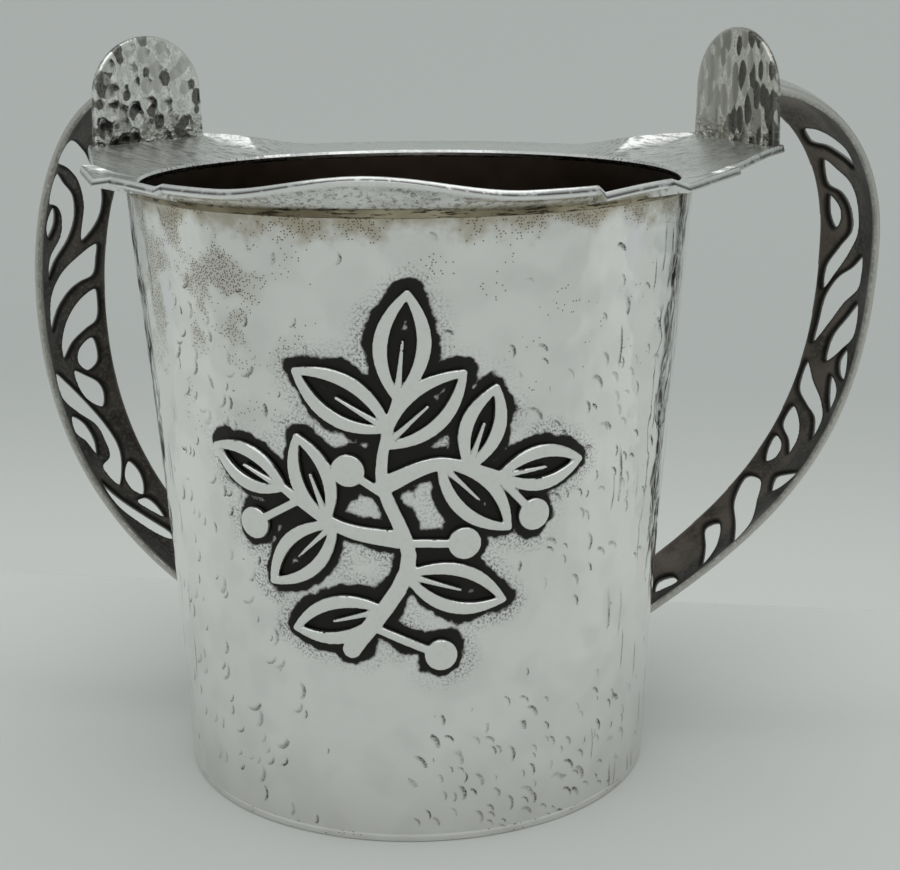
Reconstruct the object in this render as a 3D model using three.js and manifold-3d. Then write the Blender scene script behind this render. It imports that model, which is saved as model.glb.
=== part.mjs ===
// A two-handled hand-washing cup in hammered sheet silver.
// Millimetres, +Z up, front of the cup towards -Y, origin at the centre of the base's underside.
// Turns about the axis are given in degrees from the front, positive towards +X.
import * as THREE from 'three';
import { mergeVertices } from 'three/addons/utils/BufferGeometryUtils.js';
import Module from 'manifold-3d';

const wasm = await Module();
wasm.setup();

// Cup body
const mouthRadius = 48.1;
const footRadius = 42.1;
const wallHeight = 104.7;
const wallHollow = 0.5;
const wallThickness = 1;
const basePlateThickness = 1.5;
const basePlateProud = 0.5;
const basePlateChamfer = 0.4;
const seamWireRadius = 0.55;

// Clearance between soldered faces, and how far a cutter runs past what it cuts
const seatClearance = 0.3;
const cutOverrun = 2;

// Flange: width beyond the wall's inside, and how far its edge rises above the seam
const flangeThickness = 1.1;
const lipWidth = 5.6;
const lipRise = 2.6;
const lipCrestRise = 5.7;
const sideRise = 2.2;
const backFlangeWidth = 7.4;
const backFlangeRise = 1;
const stepTurn = 0.3;
const earRootTurn = 5;

// Ears of the flange and the upright tabs on them. The cup is hand made: the right ear
// and handle stand out a little further than the left, the right tab is taller and the right
// handle bends higher up.
const handleTurn = 116;
const leftEarReach = 61;
const rightEarReach = 65;
const earWidth = 31.8;
const earRise = 3.8;
const tabWidth = 31;
const leftTabHeight = 19.2;
const rightTabHeight = 20.2;
const tabStraightHeight = 8.5;
const tabThickness = 1.2;
const tabMargin = 0.5;
const tabTaperShare = 0.95;

// Handle straps: each is widest at its top and narrows towards its foot. The top joins the tab at a
// rise above the tab's foot, and the outermost point lies at a drop below that.
const handleWidth = 21.4;
const handleFootWidth = 14.6;
const handleThickness = 1.4;
const handleDome = 2.3;
const handleRiseOnTab = 8.7;
const handleFootHeight = 19.8;
const leftHandleReach = 82.6;
const leftHandleReachDrop = 42.2;
const rightHandleReach = 88.7;
const rightHandleReachDrop = 28.4;
const openingOverrun = 4;

// Raised ornament on the front
const ornamentWidth = 56;
const ornamentHeight = 56;
const ornamentMiddleHeight = 63;
const ornamentTurn = 2.5;
const ornamentRelief = 0.95;
const stemWidth = 3.2;
const veinWidth = 2.3;
const leafLength = 16.5;
const leafWidth = 8.4;
const berryRadius = 2.7;

// Facets round the cup, along a strap, between two places of an opening, along a stroke, across a strap
const facetsRound = 64;
const facetsAlongStrap = 36;
const facetsPerOutlinePlace = 2;
const facetsAlongStroke = 5;
const facetsAcrossStrap = 4;

const degrees = THREE.MathUtils.degToRad;
const silver = (name, colour, roughness) => new THREE.MeshStandardMaterial({
  name,
  color: colour,
  roughness,
  metalness: 1,
});
const hammeredSilver = silver('hammered_silver', 0xc8cac9, 0.22);
const polishedSilver = silver('polished_silver', 0xd9dbda, 0.12);
const oxidisedSilver = silver('oxidised_silver', 0x5a554f, 0.45);
const solderedSilver = silver('soldered_seam', 0xa89a72, 0.4);

// Helpers that turn rows of points into closed solids
function signedVolume(geometry) {
  const place = geometry.getAttribute('position');
  const index = geometry.getIndex();
  const corner = (i) => new THREE.Vector3().fromBufferAttribute(place, index.getX(i));
  let volume = 0;
  for (let i = 0; i < index.count; i += 3) {
    volume += corner(i).dot(corner(i + 1).cross(corner(i + 2))) / 6;
  }
  return volume;
}

function facingOut(geometry) {
  if (signedVolume(geometry) < 0) {
    const index = geometry.getIndex();
    for (let i = 0; i < index.count; i += 3) {
      const first = index.getX(i);
      index.setX(i, index.getX(i + 2));
      index.setX(i + 2, first);
    }
  }
  return geometry;
}

function welded(geometry) {
  geometry.deleteAttribute('normal');
  geometry.deleteAttribute('uv');
  return facingOut(mergeVertices(geometry));
}

// A slab from stations that each hold a top row and a bottom row of points; a ring joins its ends.
function slab(stations, isRing) {
  const count = stations[0].top.length;
  const points = stations.flatMap(({ top, bottom }) => [...top, ...bottom]);
  const top = (i, j) => (i % stations.length) * 2 * count + j;
  const bottom = (i, j) => top(i, j) + count;
  const faces = [];
  const quad = (a, b, c, d) => faces.push(a, b, c, a, c, d);
  const spans = isRing ? stations.length : stations.length - 1;
  for (let i = 0; i < spans; i += 1) {
    for (let j = 0; j + 1 < count; j += 1) {
      quad(top(i, j), top(i + 1, j), top(i + 1, j + 1), top(i, j + 1));
      quad(bottom(i, j), bottom(i, j + 1), bottom(i + 1, j + 1), bottom(i + 1, j));
    }
    quad(top(i, 0), bottom(i, 0), bottom(i + 1, 0), top(i + 1, 0));
    quad(top(i, count - 1), top(i + 1, count - 1), bottom(i + 1, count - 1), bottom(i, count - 1));
  }
  if (!isRing) {
    const last = stations.length - 1;
    for (let j = 0; j + 1 < count; j += 1) {
      quad(top(0, j), top(0, j + 1), bottom(0, j + 1), bottom(0, j));
      quad(top(last, j), bottom(last, j), bottom(last, j + 1), top(last, j + 1));
    }
  }
  const geometry = new THREE.BufferGeometry().setFromPoints(points);
  geometry.setIndex(faces);
  return facingOut(geometry);
}

// A turned shape about Z from [radius, height] pairs; the profile closes on itself or on the axis.
function turned(profile) {
  const outline = profile.map(([radius, height]) => new THREE.Vector2(radius, height));
  const geometry = new THREE.LatheGeometry(outline, facetsRound);
  geometry.rotateX(Math.PI / 2);
  return welded(geometry);
}

function solid(geometry) {
  const mesh = new wasm.Mesh({
    numProp: 3,
    vertProperties: new Float32Array(geometry.getAttribute('position').array),
    triVerts: new Uint32Array(geometry.getIndex().array),
  });
  return new wasm.Manifold(mesh);
}

function surface(manifold) {
  const { vertProperties, triVerts } = manifold.getMesh();
  const geometry = new THREE.BufferGeometry();
  geometry.setAttribute('position', new THREE.BufferAttribute(new Float32Array(vertProperties), 3));
  geometry.setIndex(new THREE.BufferAttribute(new Uint32Array(triVerts), 1));
  return geometry;
}

const cup = new THREE.Group();

function addPiece(name, geometry, material, turn = 0) {
  const shaded = geometry.toNonIndexed();
  shaded.computeVertexNormals();
  const mesh = new THREE.Mesh(shaded, material);
  mesh.name = name;
  mesh.rotation.z = turn;
  cup.add(mesh);
}

// Heights of the tab's foot on the ear and of the strap's top on the tab
const tabFootHeight = wallHeight + seatClearance + earRise + flangeThickness;
const handleTopHeight = tabFootHeight + handleRiseOnTab;

// Each side's ear: its reach, where its corners stand, and its turn from +X, where tabs and straps are drawn
function makeSide(reach, tabHeight, handleReach, handleReachDrop, direction) {
  const halfTurn = THREE.MathUtils.radToDeg(Math.atan(earWidth / 2 / reach));
  return {
    earReach: reach,
    tabHeight,
    handleReach,
    handleReachHeight: handleTopHeight - handleReachDrop,
    cornerReach: Math.hypot(reach, earWidth / 2),
    frontTurn: handleTurn - halfTurn,
    backTurn: handleTurn + halfTurn,
    rootTurn: handleTurn + halfTurn + earRootTurn,
    tabOuterFace: reach - tabMargin,
    rotation: degrees(direction * handleTurn - 90),
  };
}

const sides = {
  left: makeSide(leftEarReach, leftTabHeight, leftHandleReach, leftHandleReachDrop, -1),
  right: makeSide(rightEarReach, rightTabHeight, rightHandleReach, rightHandleReachDrop, 1),
};

// Base plate and wall: the outside draws in a little below the mouth
const wallFoot = basePlateThickness + seatClearance;

function wallRadius(height) {
  const share = height / wallHeight;
  return footRadius + (mouthRadius - footRadius) * share - wallHollow * 4 * share * (1 - share);
}

function wallSide(offset, from, to) {
  const steps = 4;
  return Array.from({ length: steps + 1 }, (unused, i) => {
    const height = from + (to - from) * i / steps;
    return [wallRadius(height) + offset, height];
  });
}

addPiece('base_plate', turned([
  [0, 0],
  [footRadius + basePlateProud - basePlateChamfer, 0],
  [footRadius + basePlateProud, basePlateChamfer],
  [footRadius + basePlateProud, basePlateThickness],
  [0, basePlateThickness],
]), hammeredSilver);

const outerSide = wallSide(0, wallFoot, wallHeight);
const innerSide = wallSide(-wallThickness, wallHeight, wallFoot);
addPiece('cup_wall', turned([...outerSide, ...innerSide, outerSide[0]]), hammeredSilver);

// Solder wire round the outside of the seam under the flange
const wireSides = 6;
const wireMiddle = mouthRadius + seatClearance + seamWireRadius;
const wireHeight = wallHeight - seatClearance;
addPiece('seam_wire', turned(Array.from({ length: wireSides + 1 }, (unused, i) => {
  const angle = 2 * Math.PI * (i % wireSides + 0.5) / wireSides;
  return [wireMiddle + seamWireRadius * Math.cos(angle), wireHeight + seamWireRadius * Math.sin(angle)];
})), solderedSilver);

// Flange: petals along the front edge, an ear on each side, a plain edge at the back.
// Each petal runs between two turns; reaches are shares of the lip's width.
const petalShares = [
  { from: 0, to: 41, startReach: 1, endReach: 0.86, dip: 0 },
  { from: 41, to: 57, startReach: 1.04, endReach: 1.2, dip: 0.06 },
  { from: 57, to: 81, startReach: 1.68, endReach: 1.8, dip: 0.2 },
];
const notchReachShare = 1.45;
const flareShare = 1.25;
const lipMiddle = mouthRadius - wallThickness;
const notchTurn = petalShares.at(-1).to;
const notchReach = lipMiddle + lipWidth * notchReachShare;
const backReach = lipMiddle + backFlangeWidth;

// Radius at a turn on the straight line between two points given by turn and radius
function lineReach(turn, startTurn, startReach, endTurn, endReach) {
  const toEnd = Math.sin(degrees(endTurn - turn));
  const toStart = Math.sin(degrees(turn - startTurn));
  const whole = Math.sin(degrees(endTurn - startTurn));
  return startReach * endReach * whole / (startReach * toStart + endReach * toEnd);
}

const sideOf = (turn) => (turn < 0 ? sides.left : sides.right);

function flangeReach(signedTurn) {
  const ear = sideOf(signedTurn);
  const turn = Math.abs(signedTurn);
  const petal = petalShares.find(({ to }) => turn <= to);
  if (petal) {
    const share = (turn - petal.from) / (petal.to - petal.from);
    const reach = THREE.MathUtils.lerp(petal.startReach, petal.endReach, share);
    return lipMiddle + lipWidth * (reach - petal.dip * Math.sin(Math.PI * share));
  }
  if (turn <= ear.frontTurn) {
    return lineReach(turn, notchTurn, notchReach, ear.frontTurn, ear.cornerReach);
  }
  if (turn <= ear.backTurn) {
    return ear.earReach / Math.cos(degrees(turn - handleTurn));
  }
  if (turn <= ear.rootTurn) {
    return lineReach(turn, ear.backTurn, ear.cornerReach, ear.rootTurn, backReach);
  }
  return backReach;
}

// Rise of the flange's edge: blended smoothly between stops, with the pouring lip's crest on top at the front
const lipCrestHalfTurn = 28;
const backRiseTurn = 152;

function flangeRise(signedTurn) {
  const ear = sideOf(signedTurn);
  const turn = Math.abs(signedTurn);
  const stops = [
    { at: 0, rise: lipRise },
    { at: petalShares[1].from, rise: lipRise },
    { at: notchTurn, rise: sideRise },
    { at: ear.frontTurn, rise: earRise },
    { at: ear.backTurn, rise: earRise },
    { at: backRiseTurn, rise: backFlangeRise },
    { at: 180, rise: backFlangeRise },
  ];
  const next = Math.max(1, stops.findIndex((stop) => turn <= stop.at));
  const [before, after] = [stops[next - 1], stops[next]];
  const share = THREE.MathUtils.smoothstep(turn, before.at, after.at);
  const fromCrest = Math.min(1, turn / lipCrestHalfTurn);
  const crest = (lipCrestRise - lipRise) * (1 + Math.cos(Math.PI * fromCrest)) / 2;
  return THREE.MathUtils.lerp(before.rise, after.rise, share) + crest;
}

const radialShares = [0, 0.25, 0.5, 0.75, 1];

// A row of points across the flange at a turn, lifted off its underside by an offset
function flangeRow(turn, offset) {
  const width = flangeReach(turn) - lipMiddle;
  const rise = flangeRise(turn);
  return radialShares.map((share) => {
    const slope = rise * flareShare * share ** (flareShare - 1) / width;
    const lean = Math.atan(slope);
    const radius = lipMiddle + width * share - offset * Math.sin(lean);
    const height = wallHeight + seatClearance + rise * share ** flareShare + offset * Math.cos(lean);
    const angle = degrees(turn);
    return new THREE.Vector3(radius * Math.sin(angle), -radius * Math.cos(angle), height);
  });
}

// Turns at which one half of the flange is drawn: close together at the steps, evenly spaced between
function halfTurns(ear) {
  const widest = 4;
  const stops = [0];
  for (const { to } of petalShares) {
    stops.push(to, to + stepTurn);
  }
  stops.push(ear.frontTurn, ear.backTurn, ear.rootTurn, 180);
  const turns = [];
  for (let i = 0; i + 1 < stops.length; i += 1) {
    const span = stops[i + 1] - stops[i];
    const parts = Math.ceil(span / widest);
    for (let j = 0; j < parts; j += 1) {
      turns.push(stops[i] + span * j / parts);
    }
  }
  return turns;
}

const flangeTurns = [
  ...halfTurns(sides.left).slice(1).reverse().map((turn) => -turn),
  ...halfTurns(sides.right),
  180,
];

function flangeSolid(topRow, bottomRow) {
  return slab(flangeTurns.map((turn) => ({ top: topRow(turn), bottom: bottomRow(turn) })), true);
}

const flangeTop = (turn) => flangeRow(turn, flangeThickness);
addPiece('rim_flange', flangeSolid(flangeTop, (turn) => flangeRow(turn, 0)), hammeredSilver);

// Room above the flange's underside that a tab keeps clear of, a seat's clearance over the flange's top
function flangeRoomRow(turn) {
  const lifted = flangeTop(turn).map((point) => point.setZ(point.z + seatClearance));
  const edge = lifted.at(-1);
  const reach = Math.hypot(edge.x, edge.y);
  const outside = edge.clone().multiply(new THREE.Vector3(1 + cutOverrun / reach, 1 + cutOverrun / reach, 1));
  return [...lifted, outside];
}

const flangeRoom = solid(flangeSolid(flangeRoomRow, (turn) => (
  flangeRoomRow(turn).map((point) => point.setZ(wallHeight - cutOverrun))
)));

// Tabs: an arched plate that stands on the ear's outer end
const tabShoulder = tabFootHeight + tabStraightHeight;

function tabGeometry({ tabOuterFace, tabHeight, rotation }) {
  const halfTop = tabWidth / 2 * tabTaperShare;
  const outline = new THREE.Shape();
  outline.moveTo(tabWidth / 2, wallHeight);
  outline.lineTo(halfTop, tabShoulder);
  outline.absellipse(0, tabShoulder, halfTop, tabHeight - tabStraightHeight, 0, Math.PI, false);
  outline.lineTo(-tabWidth / 2, wallHeight);
  const plate = new THREE.ExtrudeGeometry(outline, {
    depth: tabThickness,
    bevelEnabled: false,
    curveSegments: 20,
  });
  const standing = new THREE.Matrix4().makeBasis(
    new THREE.Vector3(0, 1, 0),
    new THREE.Vector3(0, 0, 1),
    new THREE.Vector3(1, 0, 0),
  );
  plate.applyMatrix4(standing);
  plate.translate(tabOuterFace - tabThickness, 0, 0);
  plate.rotateZ(rotation);
  return surface(solid(welded(plate)).subtract(flangeRoom));
}

for (const [name, side] of Object.entries(sides)) {
  addPiece(`thumb_tab_${name}`, tabGeometry(side), hammeredSilver);
}

// Handle straps: the inner face follows two curves that meet at the handle's outermost point.
// Each curve's pull is a share of its run: how far out, and how far down or up.
const curveShares = {
  left: { top: { out: 0.62, drop: 0.08, up: 0.46 }, foot: { down: 0.456, out: 0.714, up: 0.194 } },
  right: { top: { out: 0.674, drop: 0.032, up: 0.507 }, foot: { down: 0.517, out: 0.7, up: 0.25 } },
};
const strapFoot = wallRadius(handleFootHeight) - cutOverrun * 2;

function makeStrapPath({ tabOuterFace, handleReach, handleReachHeight }, { top, foot }) {
  const strapTop = tabOuterFace + seatClearance - cutOverrun;
  const dropFromTop = handleTopHeight - handleReachHeight;
  const dropToFoot = handleReachHeight - handleFootHeight;
  const outermost = new THREE.Vector2(handleReach, handleReachHeight);
  const path = new THREE.CurvePath();
  path.add(new THREE.CubicBezierCurve(
    new THREE.Vector2(strapTop, handleTopHeight),
    new THREE.Vector2(
      strapTop + (handleReach - strapTop) * top.out,
      handleTopHeight - dropFromTop * top.drop,
    ),
    new THREE.Vector2(handleReach, handleReachHeight + dropFromTop * top.up),
    outermost,
  ));
  path.add(new THREE.CubicBezierCurve(
    outermost,
    new THREE.Vector2(handleReach, handleReachHeight - dropToFoot * foot.down),
    new THREE.Vector2(
      strapFoot + (handleReach - strapFoot) * foot.out,
      handleFootHeight + dropToFoot * foot.up,
    ),
    new THREE.Vector2(strapFoot, handleFootHeight),
  ));
  return path;
}

const strapHalfWidth = (along) => THREE.MathUtils.lerp(handleWidth, handleFootWidth, along) / 2;

// A point of a strap: share along it, share across it from edge to edge, depth from its inner face
function strapPoint(path, along, across, depth) {
  const share = THREE.MathUtils.clamp(along, 0, 1);
  const middle = path.getPointAt(share);
  const run = path.getTangentAt(share);
  const lift = depth + handleDome * (1 - across * across);
  return new THREE.Vector3(
    middle.x - run.y * lift,
    across * strapHalfWidth(share),
    middle.y + run.x * lift,
  );
}

function strapBlank(path) {
  const places = Array.from({ length: facetsAcrossStrap + 1 }, (unused, i) => 2 * i / facetsAcrossStrap - 1);
  return solid(slab(Array.from({ length: facetsAlongStrap + 1 }, (unused, i) => ({
    top: places.map((across) => strapPoint(path, i / facetsAlongStrap, across, handleThickness)),
    bottom: places.map((across) => strapPoint(path, i / facetsAlongStrap, across, 0)),
  })), false));
}

// Openings sawn through a strap: the places along and across it that each outline runs through
const leftOpeningShares = [
  {
    along: [0.169, 0.194, 0.216, 0.258, 0.291, 0.315, 0.257, 0.218, 0.195, 0.171, 0.139],
    across: [-0.05, -0.38, -0.66, -0.84, -0.76, -0.46, -0.39, -0.12, 0.25, 0.81, 0.72],
  },
  {
    along: [0.22, 0.244, 0.28, 0.312, 0.34, 0.365, 0.335, 0.303, 0.271, 0.254, 0.242, 0.195],
    across: [0.25, -0.11, -0.24, -0.11, 0.24, 0.51, 0.49, 0.16, 0.19, 0.37, 0.73, 0.72],
  },
  {
    along: [0.26, 0.283, 0.301, 0.278, 0.253],
    across: [0.42, 0.36, 0.55, 0.72, 0.56],
  },
  {
    along: [0.344, 0.37, 0.379, 0.389, 0.414, 0.445, 0.399, 0.368, 0.339, 0.321],
    across: [-0.84, -0.78, -0.49, -0.22, 0.19, 0.54, 0.49, 0.18, -0.38, -0.82],
  },
  {
    along: [0.41, 0.442, 0.453, 0.469, 0.491, 0.473, 0.44, 0.405, 0.393],
    across: [-0.87, -0.81, -0.55, -0.15, 0.24, 0.27, 0.04, -0.45, -0.82],
  },
  {
    along: [0.47, 0.492, 0.508, 0.517, 0.501, 0.484, 0.469],
    across: [-0.68, -0.74, -0.68, -0.39, -0.16, -0.24, -0.56],
  },
  {
    along: [0.525, 0.54, 0.558, 0.577, 0.562, 0.539, 0.513],
    across: [-0.35, -0.61, -0.67, -0.54, -0.19, -0.01, 0],
  },
  {
    along: [0.53, 0.566, 0.603, 0.64, 0.67, 0.701, 0.667, 0.654, 0.63, 0.601, 0.574, 0.545, 0.509],
    across: [0.27, -0.16, -0.44, -0.55, -0.42, 0.03, 0.22, -0.16, -0.23, -0.16, 0.28, 0.72, 0.69],
  },
  {
    along: [0.592, 0.622, 0.645, 0.62, 0.603, 0.579],
    across: [0.16, 0.03, 0.20, 0.39, 0.67, 0.54],
  },
  {
    along: [0.69, 0.715, 0.729, 0.715, 0.693, 0.671],
    across: [-0.72, -0.64, -0.45, -0.25, -0.26, -0.61],
  },
  {
    along: [0.735, 0.751, 0.779, 0.757, 0.736],
    across: [-0.48, -0.60, -0.56, -0.33, -0.18],
  },
  {
    along: [0.72, 0.761, 0.806, 0.817, 0.764, 0.731, 0.689],
    across: [0.26, -0.14, -0.42, -0.27, 0.32, 0.60, 0.59],
  },
];
const rightOpeningShares = [
  {
    along: [0.167, 0.182, 0.199, 0.222, 0.209, 0.195, 0.184, 0.164],
    across: [0.46, 0.10, -0.18, -0.20, 0.17, 0.49, 0.83, 0.80],
  },
  {
    along: [0.23, 0.246, 0.267, 0.311, 0.336, 0.374, 0.401, 0.369, 0.338, 0.311, 0.283, 0.262, 0.249, 0.213],
    across: [0.37, 0.09, -0.04, -0.04, 0.17, 0.57, 0.86, 0.87, 0.58, 0.26, 0.29, 0.48, 0.79, 0.69],
  },
  {
    along: [0.283, 0.303, 0.311, 0.293, 0.265],
    across: [0.51, 0.54, 0.68, 0.82, 0.76],
  },
  {
    along: [0.368, 0.386, 0.414, 0.448, 0.481, 0.446, 0.411, 0.382, 0.364, 0.343],
    across: [-0.32, -0.26, 0.22, 0.56, 0.87, 0.87, 0.81, 0.56, 0.17, -0.27],
  },
  {
    along: [0.451, 0.476, 0.501, 0.467, 0.436, 0.409],
    across: [-0.44, -0.05, 0.42, 0.44, 0.13, -0.31],
  },
  {
    along: [0.495, 0.516, 0.512, 0.494, 0.475],
    across: [-0.46, -0.56, -0.17, -0.01, -0.22],
  },
  {
    along: [0.532, 0.545, 0.565, 0.544, 0.518],
    across: [-0.33, -0.47, -0.42, -0.04, 0.11],
  },
  {
    along: [0.534, 0.56, 0.581, 0.611, 0.58, 0.567, 0.55, 0.509],
    across: [0.55, 0.02, -0.29, -0.27, 0.15, 0.55, 0.87, 0.87],
  },
  {
    along: [0.596, 0.619, 0.643, 0.624, 0.607, 0.577],
    across: [0.44, 0.23, 0.23, 0.53, 0.87, 0.82],
  },
  {
    along: [0.634, 0.653, 0.667, 0.649, 0.627],
    across: [0.59, 0.50, 0.70, 0.87, 0.87],
  },
  {
    along: [0.661, 0.701, 0.679],
    across: [-0.68, -0.10, 0.17],
  },
  {
    along: [0.695, 0.726, 0.764, 0.798, 0.764, 0.74, 0.70],
    across: [0.48, 0.06, -0.54, -0.71, 0.25, 0.72, 0.87],
  },
  {
    along: [0.781, 0.814, 0.852, 0.82, 0.799],
    across: [0.56, -0.11, -0.47, 0.31, 0.72],
  },
  {
    along: [0.923, 0.907, 0.887, 0.893, 0.909],
    across: [-0.01, 0.35, 0.17, -0.30, -0.17],
  },
];

// A cutter for one opening: its outline, smoothed, from beyond one face of the strap to beyond the other
function openingCutter(path, { along, across }) {
  const length = path.getLength();
  const places = along.map((share, i) => (
    new THREE.Vector3(share * length, across[i] * strapHalfWidth(share), 0)
  ));
  const smooth = new THREE.CatmullRomCurve3(places, true, 'centripetal');
  const outline = smooth.getPoints(places.length * facetsPerOutlinePlace).slice(1);
  if (!THREE.ShapeUtils.isClockWise(outline)) {
    outline.reverse();
  }
  const count = outline.length;
  const points = [handleThickness + openingOverrun, -openingOverrun].flatMap((depth) => (
    outline.map(({ x, y }) => strapPoint(path, x / length, y / strapHalfWidth(x / length), depth))
  ));
  const faces = THREE.ShapeUtils.triangulateShape(outline, []).flatMap(([a, b, c]) => (
    [a, b, c, c + count, b + count, a + count]
  ));
  for (let i = 0; i < count; i += 1) {
    const next = (i + 1) % count;
    faces.push(i, next, next + count, i, next + count, i + count);
  }
  const geometry = new THREE.BufferGeometry().setFromPoints(points);
  geometry.setIndex(faces);
  return solid(facingOut(geometry));
}

// What a strap's ends are trimmed to: the wall below, and the room up to the tab's outer face above
const cupRoom = solid(turned([
  [0, -cutOverrun],
  [footRadius + seatClearance, -cutOverrun],
  ...wallSide(seatClearance, 0, wallHeight),
  [0, wallHeight],
]));

function tabRoom({ tabOuterFace, tabHeight }) {
  const room = new THREE.BoxGeometry(tabOuterFace, earWidth, tabHeight * 2);
  room.translate(tabOuterFace / 2 + seatClearance, 0, tabFootHeight + tabHeight);
  return solid(welded(room));
}

function handleGeometry(side, shares, openings) {
  const path = makeStrapPath(side, shares);
  let strap = strapBlank(path).subtract(cupRoom).subtract(tabRoom(side));
  for (const opening of openings) {
    strap = strap.subtract(openingCutter(path, opening));
  }
  return surface(strap);
}

const leftHandle = handleGeometry(sides.left, curveShares.left, leftOpeningShares);
addPiece('handle_left', leftHandle, oxidisedSilver, sides.left.rotation);
const rightHandle = handleGeometry(sides.right, curveShares.right, rightOpeningShares);
addPiece('handle_right', rightHandle, oxidisedSilver, sides.right.rotation);

// Ornament: a leafy sprig in raised strokes that follow the wall.
// A place on the front is [across, up] in millimetres from the ornament's middle.
function wallPoint([across, up], offset) {
  const height = ornamentMiddleHeight + up;
  const angle = degrees(ornamentTurn) + across / wallRadius(ornamentMiddleHeight);
  const radius = wallRadius(height) + offset;
  return new THREE.Vector3(radius * Math.sin(angle), -radius * Math.cos(angle), height);
}

// A raised stroke along a curve, its half width given by a function of the share along it
function stroke(curve, halfWidth, lift, facets = facetsAlongStroke) {
  const stations = Array.from({ length: facets + 1 }, (unused, i) => {
    const share = i / facets;
    const middle = curve.getPoint(share);
    const run = curve.getTangent(share);
    const edges = [-1, 1].map((side) => {
      const offset = side * halfWidth(share);
      return [middle.x - run.y * offset, middle.y + run.x * offset];
    });
    return {
      top: edges.map((edge) => wallPoint(edge, seatClearance + ornamentRelief + lift)),
      bottom: edges.map((edge) => wallPoint(edge, seatClearance + lift)),
    };
  });
  return solid(slab(stations, false));
}

// The stem and its two side branches, through places given as shares of the ornament's width and height
const branchShares = {
  stem: [[-0.12, -0.5], [0.05, -0.24], [-0.02, 0.02], [0.03, 0.26]],
  left: [[0.02, -0.16], [-0.14, -0.13], [-0.32, -0.02]],
  right: [[-0.01, 0], [0.14, 0.06], [0.32, 0.01]],
};
const branches = Object.fromEntries(Object.entries(branchShares).map(([name, places]) => (
  [name, new THREE.SplineCurve(places.map(([across, up]) => (
    new THREE.Vector2(across * ornamentWidth, up * ornamentHeight)
  )))]
)));

// Leaves and berries: where along its branch each grows, its direction in degrees, its share of full size
const leafShares = [
  { branch: 'stem', at: 0.97, turn: 84, size: 1 },
  { branch: 'stem', at: 0.84, turn: 148, size: 1 },
  { branch: 'stem', at: 0.78, turn: 44, size: 1 },
  { branch: 'stem', at: 0.3, turn: -18, size: 1 },
  { branch: 'stem', at: 0.18, turn: 196, size: 0.95 },
  { branch: 'left', at: 0.94, turn: 158, size: 0.85 },
  { branch: 'left', at: 0.6, turn: 108, size: 0.85 },
  { branch: 'left', at: 0.55, turn: 224, size: 0.95 },
  { branch: 'right', at: 0.94, turn: 4, size: 0.85 },
  { branch: 'right', at: 0.7, turn: 72, size: 0.8 },
  { branch: 'right', at: 0.5, turn: -46, size: 0.95 },
];
const berryShares = [
  { branch: 'stem', at: 0.6, turn: 146, size: 0.42 },
  { branch: 'stem', at: 0.42, turn: -2, size: 0.55 },
  { branch: 'stem', at: 0.12, turn: -24, size: 0.75 },
  { branch: 'left', at: 0.8, turn: 210, size: 0.6 },
  { branch: 'right', at: 0.9, turn: -48, size: 0.6 },
];
const bellyShare = 0.75;
const strokeEndShare = 0.55;
const veinShare = 0.55;
const stalkShare = 0.32;
const berryCrownShare = 0.6;
const berrySides = 10;
const liftStepShare = 0.0316;
const liftStep = ornamentRelief * liftStepShare;

function growth({ branch, at, turn, size }) {
  const root = branches[branch].getPoint(at);
  const run = new THREE.Vector2(1, 0).rotateAround(new THREE.Vector2(), degrees(turn));
  return { root, run, tip: root.clone().addScaledVector(run, leafLength * size) };
}

// A leaf is two bowed strokes that meet at its foot and tip, with a short vein between them
function leafStrokes(leaf, lift) {
  const { root, run, tip } = growth(leaf);
  const aside = new THREE.Vector2(-run.y, run.x);
  const swell = (share) => (
    veinWidth / 2 * THREE.MathUtils.lerp(strokeEndShare, 1, Math.sin(Math.PI * share))
  );
  const outline = [-1, 1].map((side) => {
    const bow = root.clone().lerp(tip, 1 / 2);
    bow.addScaledVector(aside, side * leafWidth * leaf.size * bellyShare);
    return stroke(new THREE.QuadraticBezierCurve(root, bow, tip), swell, lift + side * liftStep / 2);
  });
  const vein = new THREE.LineCurve(root, root.clone().lerp(tip, veinShare));
  const thinning = (share) => veinWidth / 2 * veinShare * (1 - share * veinShare);
  return [...outline, stroke(vein, thinning, lift - liftStep, 2)];
}

// A berry is a round boss on a short stalk
function berryStrokes(berry, lift) {
  const { root, tip } = growth(berry);
  const stalk = stroke(new THREE.LineCurve(root, tip), () => veinWidth * stalkShare, lift, 2);
  const ring = (radius, offset) => Array.from({ length: berrySides }, (unused, i) => {
    const angle = 2 * Math.PI * i / berrySides;
    return wallPoint([tip.x + radius * Math.cos(angle), tip.y + radius * Math.sin(angle)], offset);
  });
  const underside = seatClearance + lift + liftStep;
  const crown = seatClearance + ornamentRelief + lift + liftStep;
  const points = [
    wallPoint(tip.toArray(), underside),
    ...ring(berryRadius, underside),
    ...ring(berryRadius, (underside + crown) / 2),
    ...ring(berryRadius * berryCrownShare, crown),
    wallPoint(tip.toArray(), crown + liftStep),
  ];
  const faces = [];
  for (let i = 0; i < berrySides; i += 1) {
    const next = (i + 1) % berrySides;
    const [low, high, top] = [0, 1, 2].map((row) => [1 + row * berrySides + i, 1 + row * berrySides + next]);
    faces.push(0, low[1], low[0]);
    for (const [lower, upper] of [[low, high], [high, top]]) {
      faces.push(lower[0], lower[1], upper[1], lower[0], upper[1], upper[0]);
    }
    faces.push(top[0], top[1], points.length - 1);
  }
  const geometry = new THREE.BufferGeometry().setFromPoints(points);
  geometry.setIndex(faces);
  return [stalk, solid(facingOut(geometry))];
}

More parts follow.
